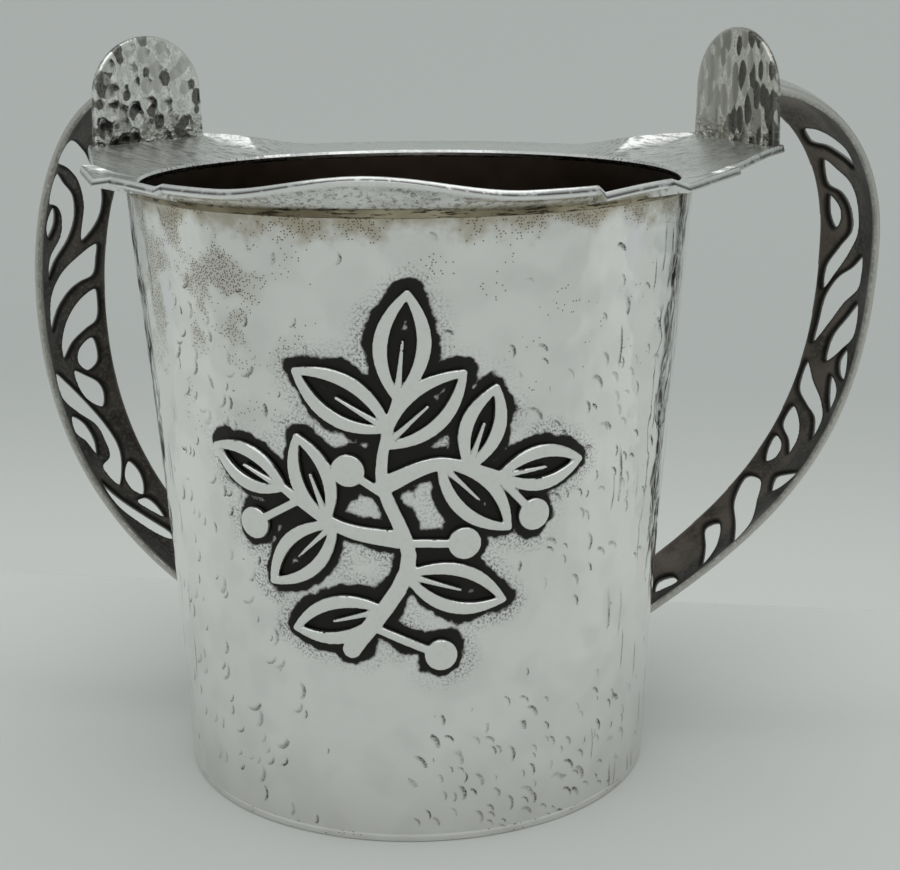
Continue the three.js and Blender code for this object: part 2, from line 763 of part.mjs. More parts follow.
const taper = (share) => stemWidth / 2 * (1 - share * strokeEndShare);
let ornament = stroke(branches.stem, taper, 0);
ornament = ornament.add(stroke(branches.left, taper, liftStep));
ornament = ornament.add(stroke(branches.right, taper, liftStep));
const growths = [
  ...leafShares.map((leaf, i) => leafStrokes(leaf, liftStep * (3 + i % 2))),
  ...berryShares.map((berry) => berryStrokes(berry, liftStep * 5)),
];
for (const piece of growths.flat()) {
  ornament = ornament.add(piece);
}
addPiece('front_ornament', surface(ornament), polishedSilver);

export default cup;
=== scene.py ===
"""A two-handled hand-washing cup in hammered silver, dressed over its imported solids.

Lengths are in metres, +Z is up and the front of the cup looks towards -Y. Turns about the axis are counted
from the front, positive towards +X, in degrees unless a docstring says radians.
"""

import logging
import math
from dataclasses import dataclass, field
from enum import Enum
from functools import reduce
from typing import Callable, ClassVar, Iterator, Sequence

import bpy
import numpy as np
from mathutils import Matrix, Vector


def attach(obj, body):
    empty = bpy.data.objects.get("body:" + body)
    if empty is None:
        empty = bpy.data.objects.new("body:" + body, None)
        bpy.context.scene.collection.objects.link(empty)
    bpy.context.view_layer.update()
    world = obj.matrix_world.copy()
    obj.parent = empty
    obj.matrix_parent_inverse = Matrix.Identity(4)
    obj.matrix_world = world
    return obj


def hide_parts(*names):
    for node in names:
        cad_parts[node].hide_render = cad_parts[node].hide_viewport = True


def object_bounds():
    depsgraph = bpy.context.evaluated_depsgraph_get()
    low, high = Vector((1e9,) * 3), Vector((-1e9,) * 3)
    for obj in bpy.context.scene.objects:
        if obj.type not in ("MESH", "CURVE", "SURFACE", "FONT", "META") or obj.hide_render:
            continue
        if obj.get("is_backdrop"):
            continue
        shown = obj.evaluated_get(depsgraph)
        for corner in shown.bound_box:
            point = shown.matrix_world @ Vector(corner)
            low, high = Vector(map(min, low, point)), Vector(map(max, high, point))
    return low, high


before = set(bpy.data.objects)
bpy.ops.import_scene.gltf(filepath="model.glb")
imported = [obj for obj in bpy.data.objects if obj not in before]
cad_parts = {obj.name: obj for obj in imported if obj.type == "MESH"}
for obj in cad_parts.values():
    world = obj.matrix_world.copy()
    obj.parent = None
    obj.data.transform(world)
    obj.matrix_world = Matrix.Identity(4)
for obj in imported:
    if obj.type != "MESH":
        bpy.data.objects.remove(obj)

LOG = logging.getLogger("washing_cup")

Array = np.ndarray
Material = bpy.types.Material
Colour = tuple[float, float, float]
Socket = bpy.types.NodeSocket
Amount = float | Socket
Tint = Colour | Socket
Span = tuple[float, float]
Opening = tuple[tuple[float, ...], tuple[float, ...]]


class Slot(Enum):
    """Material slots of the record."""

    HAMMERED = "hammered_silver"
    POLISHED = "polished_silver"
    OXIDISED = "oxidised_silver"
    SOLDERED = "soldered_seam"


class Side(Enum):
    """The two sides of the cup, with the direction in which their turn is counted."""

    LEFT = -1
    RIGHT = 1


# Sizes that the pieces share


@dataclass(frozen=True)
class HammerMarks:
    """Blows of a hammer: their spacing, how far the ridges stand up, and how softly they join."""

    spacing: float
    ridge: float
    sharpness: float
    wander: float = 0.42
    seed: int = 7


@dataclass(frozen=True)
class Petal:
    """One petal of the flange's front edge; its reaches are shares of the lip's width."""

    start: float
    end: float
    start_reach: float
    end_reach: float
    dip: float
    left_drop: float = 0
    right_drop: float = 0


@dataclass(frozen=True)
class Patch:
    """A stretch of the wall, by its turns and heights, and the share of the blows that get a painted shade stroke
    there.
    """

    strength: float
    start: float
    end: float
    low: float
    high: float

    SOFT_TURN: ClassVar[float] = 8
    SOFT_BELOW: ClassVar[Span] = (0.005, 0.004)
    SOFT_ABOVE: ClassVar[float] = 0.006

    def share(self, turn: Array, height: Array) -> Array:
        """How marked the wall is there.

        Args:
            turn: Turns in degrees.
            height: Heights.

        Returns:
            Shares from 0 up to the patch's strength.
        """
        soft = self.SOFT_TURN
        beside = smooth(turn, self.start - soft, self.start + soft) * smooth(
            -turn, -self.end - soft, -self.end + soft)
        below, above = self.SOFT_BELOW, self.SOFT_ABOVE
        upright = smooth(height, self.low - below[0], self.low + below[1]) * smooth(
            -height, -self.high - above, -self.high + above)
        return self.strength * beside * upright


@dataclass(frozen=True)
class TabSizes:
    """The upright thumb tabs on the ears."""

    width: float = 0.031
    straight_height: float = 0.0085
    thickness: float = 0.0012
    margin: float = 0.0005
    taper_share: float = 0.95
    sunk: float = 0.0003
    spare: float = 0.001
    arch_places: int = 61
    foot_places: int = 81
    edge_round: float = 0.00025
    edge_start_share: float = 0.45
    mesh_step: float = 0.0002
    marks: HammerMarks = HammerMarks(0.0029, 0.00016, 9, 0.42, 33)
    marks_height: float = 0.0576
    outer_shift: Span = (0.0011, 0.0007)
    plain_border: float = 0.0012
    worn_border: float = 0.0008
    dark_border: float = 0.0003
    inner_border_share: float = 0.4
    side_start: float = 0.7
    foot_reach: float = 0.009


@dataclass(frozen=True)
class HandleSizes:
    """The pierced strap handles."""

    width: float = 0.0214
    foot_width: float = 0.0146
    thickness: float = 0.0014
    dome: float = 0.0023
    rise_on_tab: float = 0.0087
    foot_height: float = 0.0198
    sunk_in_wall: float = 0.004
    overrun: float = 0.002
    joint_depth: float = 0.0004
    edge_round: float = 0.00045
    edge_start_share: float = 0.5
    mesh_step: float = 0.00025
    spare: float = 0.0005
    curve_places: int = 801
    path_places: int = 1201
    outline_parts: int = 10
    hole_reach: float = 0.003
    front_blend: float = 0.001
    front_rim: float = 0.0018
    rim_blend: float = 0.0006
    back_rim_share: float = 0.45
    jamb_reach: float = 0.0008
    outer_jamb_share: float = 0.6

    def half_width(self, along: Array) -> Array:
        """Half width of the strap at shares along it."""
        return (self.width + (self.foot_width - self.width) * along) / 2


@dataclass(frozen=True)
class StrapCurve:
    """The two joined curves of a handle; pulls are shares of each curve's run."""

    reach: float
    reach_drop: float
    top_out: float
    top_drop: float
    top_up: float
    foot_down: float
    foot_out: float
    foot_up: float


@dataclass(frozen=True)
class SideSizes:
    """What differs between the sides; an opening has shares along the strap and across it from its middle."""

    tab_height: float
    strap: StrapCurve
    openings: tuple[Opening, ...]
    bowl_stretch: Span
    bowl_growth: float
    # How the tab's painted dark reflections lean across it, gather at its side and at its foot.
    dark_lean: float
    dark_side: float
    dark_foot: float
    # Painted shade: how much darker the whole tab is.
    tab_shade: float
    stain: float


SIDES = {
    Side.LEFT: SideSizes(0.0192, StrapCurve(0.0826, 0.0422, 0.62, 0.08, 0.46, 0.456, 0.714, 0.194), (
        ((0.169, 0.194, 0.216, 0.258, 0.291, 0.315, 0.257, 0.218, 0.195, 0.171, 0.139),
         (-0.05, -0.38, -0.66, -0.84, -0.76, -0.46, -0.39, -0.12, 0.25, 0.81, 0.72)),
        ((0.22, 0.244, 0.28, 0.312, 0.34, 0.365, 0.335, 0.303, 0.271, 0.254, 0.242, 0.195),
         (0.25, -0.11, -0.24, -0.11, 0.24, 0.51, 0.49, 0.16, 0.19, 0.37, 0.73, 0.72)),
        ((0.26, 0.283, 0.301, 0.278, 0.253),
         (0.42, 0.36, 0.55, 0.72, 0.56)),
        ((0.344, 0.37, 0.379, 0.389, 0.414, 0.445, 0.399, 0.368, 0.339, 0.321),
         (-0.84, -0.78, -0.49, -0.22, 0.19, 0.54, 0.49, 0.18, -0.38, -0.82)),
        ((0.41, 0.442, 0.453, 0.469, 0.491, 0.473, 0.44, 0.405, 0.393),
         (-0.87, -0.81, -0.55, -0.15, 0.24, 0.27, 0.04, -0.45, -0.82)),
        ((0.47, 0.492, 0.508, 0.517, 0.501, 0.484, 0.469),
         (-0.68, -0.74, -0.68, -0.39, -0.16, -0.24, -0.56)),
        ((0.525, 0.54, 0.558, 0.577, 0.562, 0.539, 0.513),
         (-0.35, -0.61, -0.67, -0.54, -0.19, -0.01, 0)),
        ((0.53, 0.566, 0.603, 0.64, 0.67, 0.701, 0.667, 0.654, 0.63, 0.601, 0.574, 0.545, 0.509),
         (0.27, -0.16, -0.44, -0.55, -0.42, 0.03, 0.22, -0.16, -0.23, -0.16, 0.28, 0.72, 0.69)),
        ((0.592, 0.622, 0.645, 0.62, 0.603, 0.579),
         (0.16, 0.03, 0.20, 0.39, 0.67, 0.54)),
        ((0.69, 0.715, 0.729, 0.715, 0.693, 0.671),
         (-0.72, -0.64, -0.45, -0.25, -0.26, -0.61)),
        ((0.735, 0.751, 0.779, 0.757, 0.736),
         (-0.48, -0.60, -0.56, -0.33, -0.18)),
        ((0.72, 0.761, 0.806, 0.817, 0.764, 0.731, 0.689),
         (0.26, -0.14, -0.42, -0.27, 0.32, 0.60, 0.59)),
    ), (1, 1), 0, -0.12, 0.3, 0.1, 0, 0.3),
    Side.RIGHT: SideSizes(0.0202, StrapCurve(0.0887, 0.0284, 0.674, 0.032, 0.507, 0.517, 0.7, 0.25), (
        ((0.167, 0.182, 0.199, 0.222, 0.209, 0.195, 0.184, 0.164),
         (0.46, 0.10, -0.18, -0.20, 0.17, 0.49, 0.83, 0.80)),
        ((0.23, 0.246, 0.267, 0.311, 0.336, 0.374, 0.401, 0.369, 0.338, 0.311, 0.283, 0.262, 0.249, 0.213),
         (0.37, 0.09, -0.04, -0.04, 0.17, 0.57, 0.86, 0.87, 0.58, 0.26, 0.29, 0.48, 0.79, 0.69)),
        ((0.283, 0.303, 0.311, 0.293, 0.265),
         (0.51, 0.54, 0.68, 0.82, 0.76)),
        ((0.368, 0.386, 0.414, 0.448, 0.481, 0.446, 0.411, 0.382, 0.364, 0.343),
         (-0.32, -0.26, 0.22, 0.56, 0.87, 0.87, 0.81, 0.56, 0.17, -0.27)),
        ((0.451, 0.476, 0.501, 0.467, 0.436, 0.409),
         (-0.44, -0.05, 0.42, 0.44, 0.13, -0.31)),
        ((0.495, 0.516, 0.512, 0.494, 0.475),
         (-0.46, -0.56, -0.17, -0.01, -0.22)),
        ((0.532, 0.545, 0.565, 0.544, 0.518),
         (-0.33, -0.47, -0.42, -0.04, 0.11)),
        ((0.534, 0.56, 0.581, 0.611, 0.58, 0.567, 0.55, 0.509),
         (0.55, 0.02, -0.29, -0.27, 0.15, 0.55, 0.87, 0.87)),
        ((0.596, 0.619, 0.643, 0.624, 0.607, 0.577),
         (0.44, 0.23, 0.23, 0.53, 0.87, 0.82)),
        ((0.634, 0.653, 0.667, 0.649, 0.627),
         (0.59, 0.50, 0.70, 0.87, 0.87)),
        ((0.661, 0.701, 0.679),
         (-0.68, -0.10, 0.17)),
        ((0.695, 0.726, 0.764, 0.798, 0.764, 0.74, 0.70),
         (0.48, 0.06, -0.54, -0.71, 0.25, 0.72, 0.87)),
        ((0.781, 0.814, 0.852, 0.82, 0.799),
         (0.56, -0.11, -0.47, 0.31, 0.72)),
        ((0.923, 0.907, 0.887, 0.893, 0.909),
         (-0.01, 0.35, 0.17, -0.30, -0.17)),
    ), (1.25, 0.62), 0.12, -0.8, 0, 0, 1, 1),
}


# Geometry that the pieces share


def smooth(value: Array, low: float, high: float) -> Array:
    """Smooth run of values from 0 at the low level to 1 at the high one."""
    share = np.clip((value - low) / (high - low), 0, 1)
    return share * share * (3 - 2 * share)


class HammeredSheet:
    """Height of a hammered sheet over a plane: shallow bowls where the blows fell, soft ridges between."""

    LEVEL_WANDER = 0.12
    SPARE_ROWS = 4
    FIRST_ROW = 2
    NEIGHBOURS = (-1, 0, 1, 2)
    RIDGE_SQUARE = 0.3

    def __init__(self, marks: HammerMarks, length: float, height: float) -> None:
        """Scatters the blows.

        Args:
            marks: Spacing and depth of the blows.
            length: Extent along the first direction, round which the pattern closes on itself.
            height: Extent along the second direction.
        """
        self.marks = marks
        self.count_u = max(3, round(length / marks.spacing))
        self.step_u = length / self.count_u
        self.count_v = math.ceil(height / marks.spacing) + self.SPARE_ROWS
        chance = np.random.default_rng(marks.seed)
        shape = (self.count_u, self.count_v)
        self.shift_u = chance.uniform(-marks.wander, marks.wander, shape)
        self.shift_v = chance.uniform(-marks.wander, marks.wander, shape)
        self.level = chance.uniform(-self.LEVEL_WANDER, self.LEVEL_WANDER, shape)
        self.luck = chance.uniform(0, 1, shape)

    def blows_near(self, u: Array, v: Array) -> Iterator[tuple[Array, Array]]:
        """Measures each place against the blows round it.

        Args:
            u: Places along the first direction.
            v: Places along the second direction.

        Yields:
            Squared distances in cells to one neighbouring blow, and the chance values of that blow.
        """
        cell_u, cell_v = u / self.step_u, v / self.marks.spacing + self.FIRST_ROW
        whole_u, whole_v = np.floor(cell_u).astype(int), np.floor(cell_v).astype(int)
        for du in self.NEIGHBOURS:
            for dv in self.NEIGHBOURS:
                iu = (whole_u + du) % self.count_u
                iv = np.clip(whole_v + dv, 0, self.count_v - 1)
                off_u = whole_u + du + self.shift_u[iu, iv] - cell_u
                off_v = whole_v + dv + self.shift_v[iu, iv] - cell_v
                yield off_u ** 2 + off_v ** 2 + self.level[iu, iv], self.luck[iu, iv]

    def blow_chance(self, u: Array, v: Array) -> Array:
        """A chance value that is the same all over the bowl of one blow.

        Args:
            u: Places along the first direction.
            v: Places along the second direction.

        Returns:
            Values from 0 to 1.
        """
        nearest, found = np.full(u.shape, np.inf), np.zeros(u.shape)
        for square, luck in self.blows_near(u, v):
            found = np.where(square < nearest, luck, found)
            nearest = np.minimum(nearest, square)
        return found

    def rise(self, u: Array, v: Array) -> Array:
        """Heights of the sheet, from about zero in the bowls up to the ridges' height."""
        total = sum(np.exp(-self.marks.sharpness * square) for square, _ in self.blows_near(u, v))
        return -np.log(total) / self.marks.sharpness * self.marks.ridge / self.RIDGE_SQUARE


def distance_to_lines(places: Array, starts: Sequence[Array], ends: Sequence[Array],
                      start_widths: Sequence[float] | None = None,
                      end_widths: Sequence[float] | None = None) -> Array:
    """Distance from each place to the nearest of some lines, less the line's half width there.

    Args:
        places: Points of a plane.
        starts: Where the lines start.
        ends: Where the lines end.
        start_widths: Half widths at the starts, or none for thin lines.
        end_widths: Half widths at the ends, or none for thin lines.

    Returns:
        One distance for each place, negative inside a wide line.
    """
    nearest = np.full(len(places), np.inf)
    thin = np.zeros(len(starts))
    widths_a = thin if start_widths is None else start_widths
    widths_b = thin if end_widths is None else end_widths
    for a, b, width_a, width_b in zip(starts, ends, widths_a, widths_b):
        run = b - a
        along = np.clip(((places - a) @ run) / max(run @ run, 1e-16), 0, 1)
        apart = places - a - along[:, None] * run
        gap = np.sqrt((apart ** 2).sum(1)) - (width_a + (width_b - width_a) * along)
        np.minimum(nearest, gap, out=nearest)
    return nearest


def depth_outside(places: Array, outline: Array) -> Array:
    """Signed distance to a closed outline, negative inside it.

    Args:
        places: Points of a plane.
        outline: Corners of the outline.

    Returns:
        One signed distance for each place.
    """
    inside = np.zeros(len(places), bool)
    x, y = places[:, 0], places[:, 1]
    ends = np.roll(outline, -1, 0)
    for (x0, y0), (x1, y1) in zip(outline, ends):
        if y0 != y1:
            crosses = (y0 > y) != (y1 > y)
            inside ^= crosses & (x < (x1 - x0) * (y - y0) / (y1 - y0) + x0)
    gap = distance_to_lines(places, outline, ends)
    return np.where(inside, -gap, gap)


def rounded_edge(depth: Array, edge_round: float, start_share: float) -> Array:
    """Shares of a plate's half thickness, from the start share on its outline to 1 where the rounding ends."""
    share = np.clip(-depth / edge_round, 0, 1)
    return start_share + (1 - start_share) * np.sqrt(1 - (1 - share) ** 2)


def ring_quads(rows: int, columns: int) -> Array:
    """Faces of a grid that closes on itself both ways.

    Args:
        rows: Places one way.
        columns: Places the other way.

    Returns:
        Quads over points numbered row by row.
    """
    i, j = np.meshgrid(np.arange(rows), np.arange(columns), indexing="ij")
    next_i, next_j = (i + 1) % rows * columns, (j + 1) % columns
    return np.stack([i * columns + j, next_i + j, next_i + next_j, i * columns + next_j], -1).reshape(-1, 4)


def around(turn: Array, radius: Array, height: Array) -> Array:
    """Points of the cup's frame at turns in radians, distances from its axis and heights."""
    return np.stack([radius * np.sin(turn), -radius * np.cos(turn), np.broadcast_to(height, radius.shape)], -1)


@dataclass
class Sheet:
    """Points, faces and point values of one piece before it becomes a mesh."""

    points: Array
    quads: Array
    triangles: Array = field(default_factory=lambda: np.zeros((0, 3), int))
    values: dict[str, Array] = field(default_factory=dict)
    vectors: dict[str, Array] = field(default_factory=dict)

    @classmethod
    def turned(cls, turn: Array, radius: Array, height: Array,
               values: dict[str, Array] | None = None) -> "Sheet":
        """A closed ring with the same number of points at each turn.

        Args:
            turn: Turns in radians, one to a row.
            radius: Distances from the axis, a row to each turn.
            height: Heights, likewise.
            values: Point values, likewise.

        Returns:
            The sheet.
        """
        points = around(np.broadcast_to(turn[:, None], radius.shape), radius, height)
        flat = {name: value.ravel() for name, value in (values or {}).items()}
        return cls(points.reshape(-1, 3), ring_quads(*radius.shape), values=flat)

    def make(self, name: str, material: Material, sharp_angle: float | None = None) -> bpy.types.Object:
        """Makes a mesh object of the sheet.

        Args:
            name: Name of the object.
            material: Its finish.
            sharp_angle: Edges above this angle stay sharp; none keeps all of them smooth.

        Returns:
            The object.
        """
        mesh = bpy.data.meshes.new(name)
        mesh.vertices.add(len(self.points))
        mesh.vertices.foreach_set("co", self.points.astype(np.float32).ravel())
        loops = np.concatenate([self.quads.ravel(), self.triangles.ravel()]).astype(np.int32)
        starts = np.concatenate([np.arange(len(self.quads)) * 4,
                                 self.quads.size + np.arange(len(self.triangles)) * 3])
        mesh.loops.add(len(loops))
        mesh.loops.foreach_set("vertex_index", loops)
        mesh.polygons.add(len(starts))
        mesh.polygons.foreach_set("loop_start", starts.astype(np.int32))
        mesh.polygons.foreach_set("use_smooth", np.ones(len(starts), bool))
        mesh.update(calc_edges=True)
        mesh.validate()
        if sharp_angle is not None:
            mesh.set_sharp_from_angle(angle=math.radians(sharp_angle))
        for kind, key, layers in (("FLOAT", "value", self.values), ("FLOAT_VECTOR", "vector", self.vectors)):
            for title, values in layers.items():
                layer = mesh.attributes.new(title, kind, "POINT")
                layer.data.foreach_set(key, values.astype(np.float32).ravel())
        mesh.materials.append(material)
        thing = bpy.data.objects.new(name, mesh)
        bpy.context.scene.collection.objects.link(thing)
        return thing

    def place(self, name: str, material: Material, slot: Slot, node: str,
              sharp_angle: float | None = None) -> None:
        """Makes a piece of the cup and seats it on the cup's body.

        Args:
            name: Name of the piece.
            material: Its finish.
            slot: The record's slot for that finish; not used.
            node: The CAD node that it stands for.
            sharp_angle: As for the mesh object.
        """
        thing = self.make(name, material, sharp_angle)
        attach(thing, "root")
        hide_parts(node)
        LOG.info("%s: %d points, %d faces", name, len(thing.data.vertices), len(thing.data.polygons))


@dataclass
class CutPlate:
    """A plate cut from a plane: its points, its faces and the edges round its outline."""

    places: Array
    depth: Array
    quads: Array
    triangles: Array
    rim: Array

    NEAR_SHARE: ClassVar[float] = 0.62
    NUDGE_SHARE: ClassVar[float] = 0.05
    LEAST_SLOPE: ClassVar[float] = 0.25
    MISS_SHARE: ClassVar[float] = 0.3
    SOLID_SHARE: ClassVar[float] = 0.02

    @classmethod
    def cut(cls, low: Span, high: Span, step: float,
            outside: Callable[[Array], Array]) -> "CutPlate":
        """Cuts a plate out of a fine grid along the zero line of a signed distance.

        Args:
            low: Lowest corner of the plane's part in use.
            high: Highest corner of the plane's part in use.
            step: Distance between grid lines.
            outside: Gives the signed distance of places, negative in the plate.

        Returns:
            The plate, with the points nearest to its outline moved on to it.
        """
        lines = [low[k] + step * np.arange(math.ceil((high[k] - low[k]) / step) + 1) for k in (0, 1)]
        places = np.stack(np.meshgrid(*lines, indexing="ij"), -1).reshape(-1, 2)
        depth = outside(places)
        nudge = step * cls.NUDGE_SHARE
        for _ in range(2):
            near = np.flatnonzero(np.abs(depth) < step * cls.NEAR_SHARE)
            slope = np.stack([(outside(places[near] + aside) - depth[near]) / nudge
                              for aside in np.eye(2) * nudge], -1)
            steep = np.maximum((slope ** 2).sum(1), cls.LEAST_SLOPE)
            places[near] -= (depth[near] / steep)[:, None] * slope
            moved = outside(places[near])
            depth[near] = np.where(np.abs(moved) < step * cls.MISS_SHARE, moved, 0)
        kept = depth < 0
        kept[near] = True
        index = np.arange(len(places)).reshape(len(lines[0]), len(lines[1]))
        corners = np.stack([index[:-1, :-1], index[1:, :-1], index[1:, 1:], index[:-1, 1:]], -1).reshape(-1, 4)
        inside = kept[corners]
        solid = depth[corners].min(1) < -step * cls.SOLID_SHARE
        quads = corners[inside.all(1) & solid]
        partial = corners[(inside.sum(1) == 3) & solid]
        missing = np.argmin(kept[partial], 1)
        rows = np.arange(len(partial))
        triangles = np.stack([partial[rows, (missing + k) % 4] for k in (1, 2, 3)], -1)
        used = np.unique(np.concatenate([quads.ravel(), triangles.ravel()]))
        fresh = np.full(len(places), -1)
        fresh[used] = np.arange(len(used))
        quads, triangles = fresh[quads], fresh[triangles]
        edges = np.concatenate([np.stack([faces, np.roll(faces, -1, 1)], -1).reshape(-1, 2)
                                for faces in (quads, triangles)])
        keys = edges.min(1) * len(used) + edges.max(1)
        _, first, counts = np.unique(keys, return_index=True, return_counts=True)
        return cls(places[used], depth[used], quads, triangles, edges[first[counts == 1]])

    def shell(self, under: Array, over: Array,
              values: dict[str, tuple[Array, Array]]) -> Sheet:
        """Joins two faces of the plate round their outline.

        Args:
            under: Points of the face that looks back.
            over: Points of the face that looks out.
            values: Point values of the two faces.

        Returns:
            The closed sheet.
        """
        count = len(self.places)
        a, b = self.rim.T
        sides = np.stack([a, b, b + count, a + count], -1)
        return Sheet(
            np.concatenate([under, over]),
            np.concatenate([self.quads[:, ::-1], self.quads + count, sides]),
            np.concatenate([self.triangles[:, ::-1], self.triangles + count]),
            {name: np.concatenate(pair) for name, pair in values.items()},
        )


# Nodes of the finishes


@dataclass(frozen=True)
class Waves:
    """A noise: its waves in a metre, its finer layers and their strength."""

    scale: float
    detail: float = 2
    rough: float = 0.5


@dataclass(frozen=True)
class Run:
    """A smooth run between two levels of a value, and the results at and beyond them."""

    low: float
    high: float
    start: float = 0
    end: float = 1


class NodeSheet:
    """The nodes of a material or a world, with short calls for those that the finishes share."""

    def __init__(self, owner: Material | bpy.types.World) -> None:
        """Starts with no nodes.

        Args:
            owner: What the nodes belong to.
        """
        self.owner = owner
        owner.use_nodes = True
        self.tree = owner.node_tree
        self.tree.nodes.clear()

    @classmethod
    def named(cls, name: str) -> "NodeSheet":
        """Starts a material of that name."""
        return cls(bpy.data.materials.new(name))

    def node(self, kind: str, inputs: dict[str | int, Amount | Tint] | None = None,
             **settings: str | bool) -> bpy.types.Node:
        """Adds a node.

        Args:
            kind: The node's type.
            inputs: Values or sockets for its inputs, by name or number.
            settings: Properties of the node.

        Returns:
            The node.
        """
        made = self.tree.nodes.new(kind)
        for key, value in settings.items():
            setattr(made, key, value)
        for key, value in (inputs or {}).items():
            if isinstance(value, Socket):
                self.tree.links.new(value, made.inputs[key])
            elif made.inputs[key].type == "RGBA":
                made.inputs[key].default_value = (*value, 1)
            else:
                made.inputs[key].default_value = value
        return made

    def maths(self, operation: str, *values: Amount, clamp: bool = False) -> Socket:
        """The result of a calculation with numbers or sockets, held between 0 and 1 if it is clamped."""
        return self.node("ShaderNodeMath", dict(enumerate(values)), operation=operation,
                         use_clamp=clamp).outputs[0]

    def times(self, *values: Amount) -> Socket:
        """The product of values."""
        return reduce(lambda product, value: self.maths("MULTIPLY", product, value), values)

    def most(self, *values: Amount) -> Socket:
        """The largest of values."""
        return reduce(lambda largest, value: self.maths("MAXIMUM", largest, value), values)

    def line(self, value: Amount, factor: Amount, offset: Amount) -> Socket:
        """The value times the factor, plus the offset."""
        return self.maths("MULTIPLY_ADD", value, factor, offset)

    def ramp(self, value: Amount, run: Run) -> Socket:
        """A value run smoothly from one level to another."""
        return self.node("ShaderNodeMapRange", {0: value, 1: run.low, 2: run.high, 3: run.start, 4: run.end},
                         interpolation_type="SMOOTHSTEP").outputs[0]

    def noise(self, vector: Socket, waves: Waves) -> Socket:
        """A noise from 0 to 1, read at a vector."""
        return self.node("ShaderNodeTexNoise", {"Vector": vector, "Scale": waves.scale, "Detail": waves.detail,
                                                "Roughness": waves.rough}).outputs["Fac"]

    def clouds(self, vector: Socket, waves: Waves, run: Run) -> Socket:
        """A noise that is run from one level to another."""
        return self.ramp(self.noise(vector, waves), run)

    def wander(self, value: Amount, vector: Socket, waves: Waves, width: float) -> Socket:
        """A value that a noise moves up and down within a width."""
        return self.maths("ADD", value, self.line(self.noise(vector, waves), width, -width / 2))

    def cells(self, vector: Socket, scale: float, feature: str = "F1") -> bpy.types.Node:
        """A flat texture of cells, with so many of them in a metre."""
        return self.node("ShaderNodeTexVoronoi", {"Vector": vector, "Scale": scale}, feature=feature,
                         voronoi_dimensions="2D")

    def chances(self, cells: bpy.types.Node) -> Sequence[Socket]:
        """Three chance values of each cell."""
        return self.node("ShaderNodeSeparateColor", {0: cells.outputs["Color"]}).outputs

    def stretched(self, vector: Socket, shares: Colour) -> Socket:
        """A vector multiplied part by part."""
        return self.node("ShaderNodeVectorMath", {0: vector, 1: shares}, operation="MULTIPLY").outputs[0]

    def parts(self, vector: Socket) -> Sequence[Socket]:
        """The three parts of a vector."""
        return self.node("ShaderNodeSeparateXYZ", {0: vector}).outputs

    def mix(self, share: Amount, first: Tint, second: Tint) -> Socket:
        """Two colours mixed by the share of the second."""
        return self.node("ShaderNodeMix", {0: share, 6: first, 7: second}, data_type="RGBA").outputs[2]

    def value(self, name: str) -> Socket:
        """A point value of the mesh."""
        return self.node("ShaderNodeAttribute", attribute_name=name).outputs["Fac"]

    def vector(self, name: str) -> Socket:
        """A point vector of the mesh."""
        return self.node("ShaderNodeAttribute", attribute_name=name).outputs["Vector"]

    def place(self) -> Socket:
        """The place on the object, in metres."""
        return self.node("ShaderNodeTexCoord").outputs["Object"]

    def bump(self, height: Socket, distance: float) -> Socket:
        """The normal of a height whose 1 stands for a distance."""
        return self.node("ShaderNodeBump", {"Height": height, "Distance": distance}).outputs[0]

    def finish(self, colour: Tint, roughness: Amount, metallic: Amount,
               normal: Socket | None = None) -> Material:
        """Closes a material with its surface.

        Args:
            colour: Base colour.
            roughness: Roughness.
            metallic: Share of metal.
            normal: Bump, if any.

        Returns:
            The material.
        """
        inputs = {"Base Color": colour, "Roughness": roughness, "Metallic": metallic}
        if normal is not None:
            inputs["Normal"] = normal
        surface = self.node("ShaderNodeBsdfPrincipled", inputs)
        self.node("ShaderNodeOutputMaterial", {0: surface.outputs[0]})
        return self.owner


# Finishes

BRIGHT: Colour = (0.89, 0.895, 0.885)
OXIDE: Colour = (0.014, 0.0125, 0.012)


def shaded(colour: Colour, share: float) -> Colour:
    """A colour times a share."""
    return tuple(share * part for part in colour)


@dataclass(frozen=True)
class ShadeCrescents:
    """Small curved strokes of painted shade, one to a cell, where a blow's rim mirrors the dark; sizes are shares
    of a cell.
    """

    scale: float
    size: float
    width: float
    swing: float
    share: float = 1

    SMALLEST: ClassVar[float] = 0.75
    GROWTH: ClassVar[float] = 0.8
    SHARP_SIDE: ClassVar[float] = 0.35
    SOFT_SIDE: ClassVar[Span] = (1.8, 0.2)
    FULL_LENGTH: ClassVar[float] = 0.4

    def draw(self, sheet: NodeSheet, place: Socket, lean: Amount) -> tuple[Socket, Socket]:
        """Draws them.

        Args:
            sheet: The material's nodes.
            place: Unrolled place.
            lean: Direction in which the strokes bulge, in radians; it wanders by the swing.

        Returns:
            The strokes' strength and a chance value of their cells.
        """
        cell = sheet.cells(place, self.scale)
        luck = sheet.chances(cell)
        away = sheet.node("ShaderNodeVectorMath", {0: place, 1: cell.outputs["Position"]}, operation="SUBTRACT")
        grown = sheet.line(luck[2], self.GROWTH * self.scale, self.SMALLEST * self.scale)
        apart = sheet.node("ShaderNodeVectorMath", {0: away.outputs[0], "Scale": grown}, operation="SCALE")
        turned = sheet.node("ShaderNodeVectorRotate", {
            "Vector": apart.outputs[0], "Angle": sheet.line(luck[0], self.swing, lean)}, rotation_type="Z_AXIS")
        across, along, _ = sheet.parts(turned.outputs[0])
        gap = sheet.maths("ADD", across, sheet.times(along, along, 1 / (2 * self.size)))
        sharp = sheet.ramp(gap, Run(0, self.width * self.SHARP_SIDE, 1, 0))
        soft = sheet.ramp(gap, Run(-self.width * self.SOFT_SIDE[0], -self.width * self.SOFT_SIDE[1]))
        ends = sheet.ramp(sheet.maths("ABSOLUTE", along), Run(self.size * self.FULL_LENGTH, self.size, 1, 0))
        return sheet.times(sharp, soft, ends), luck[1]


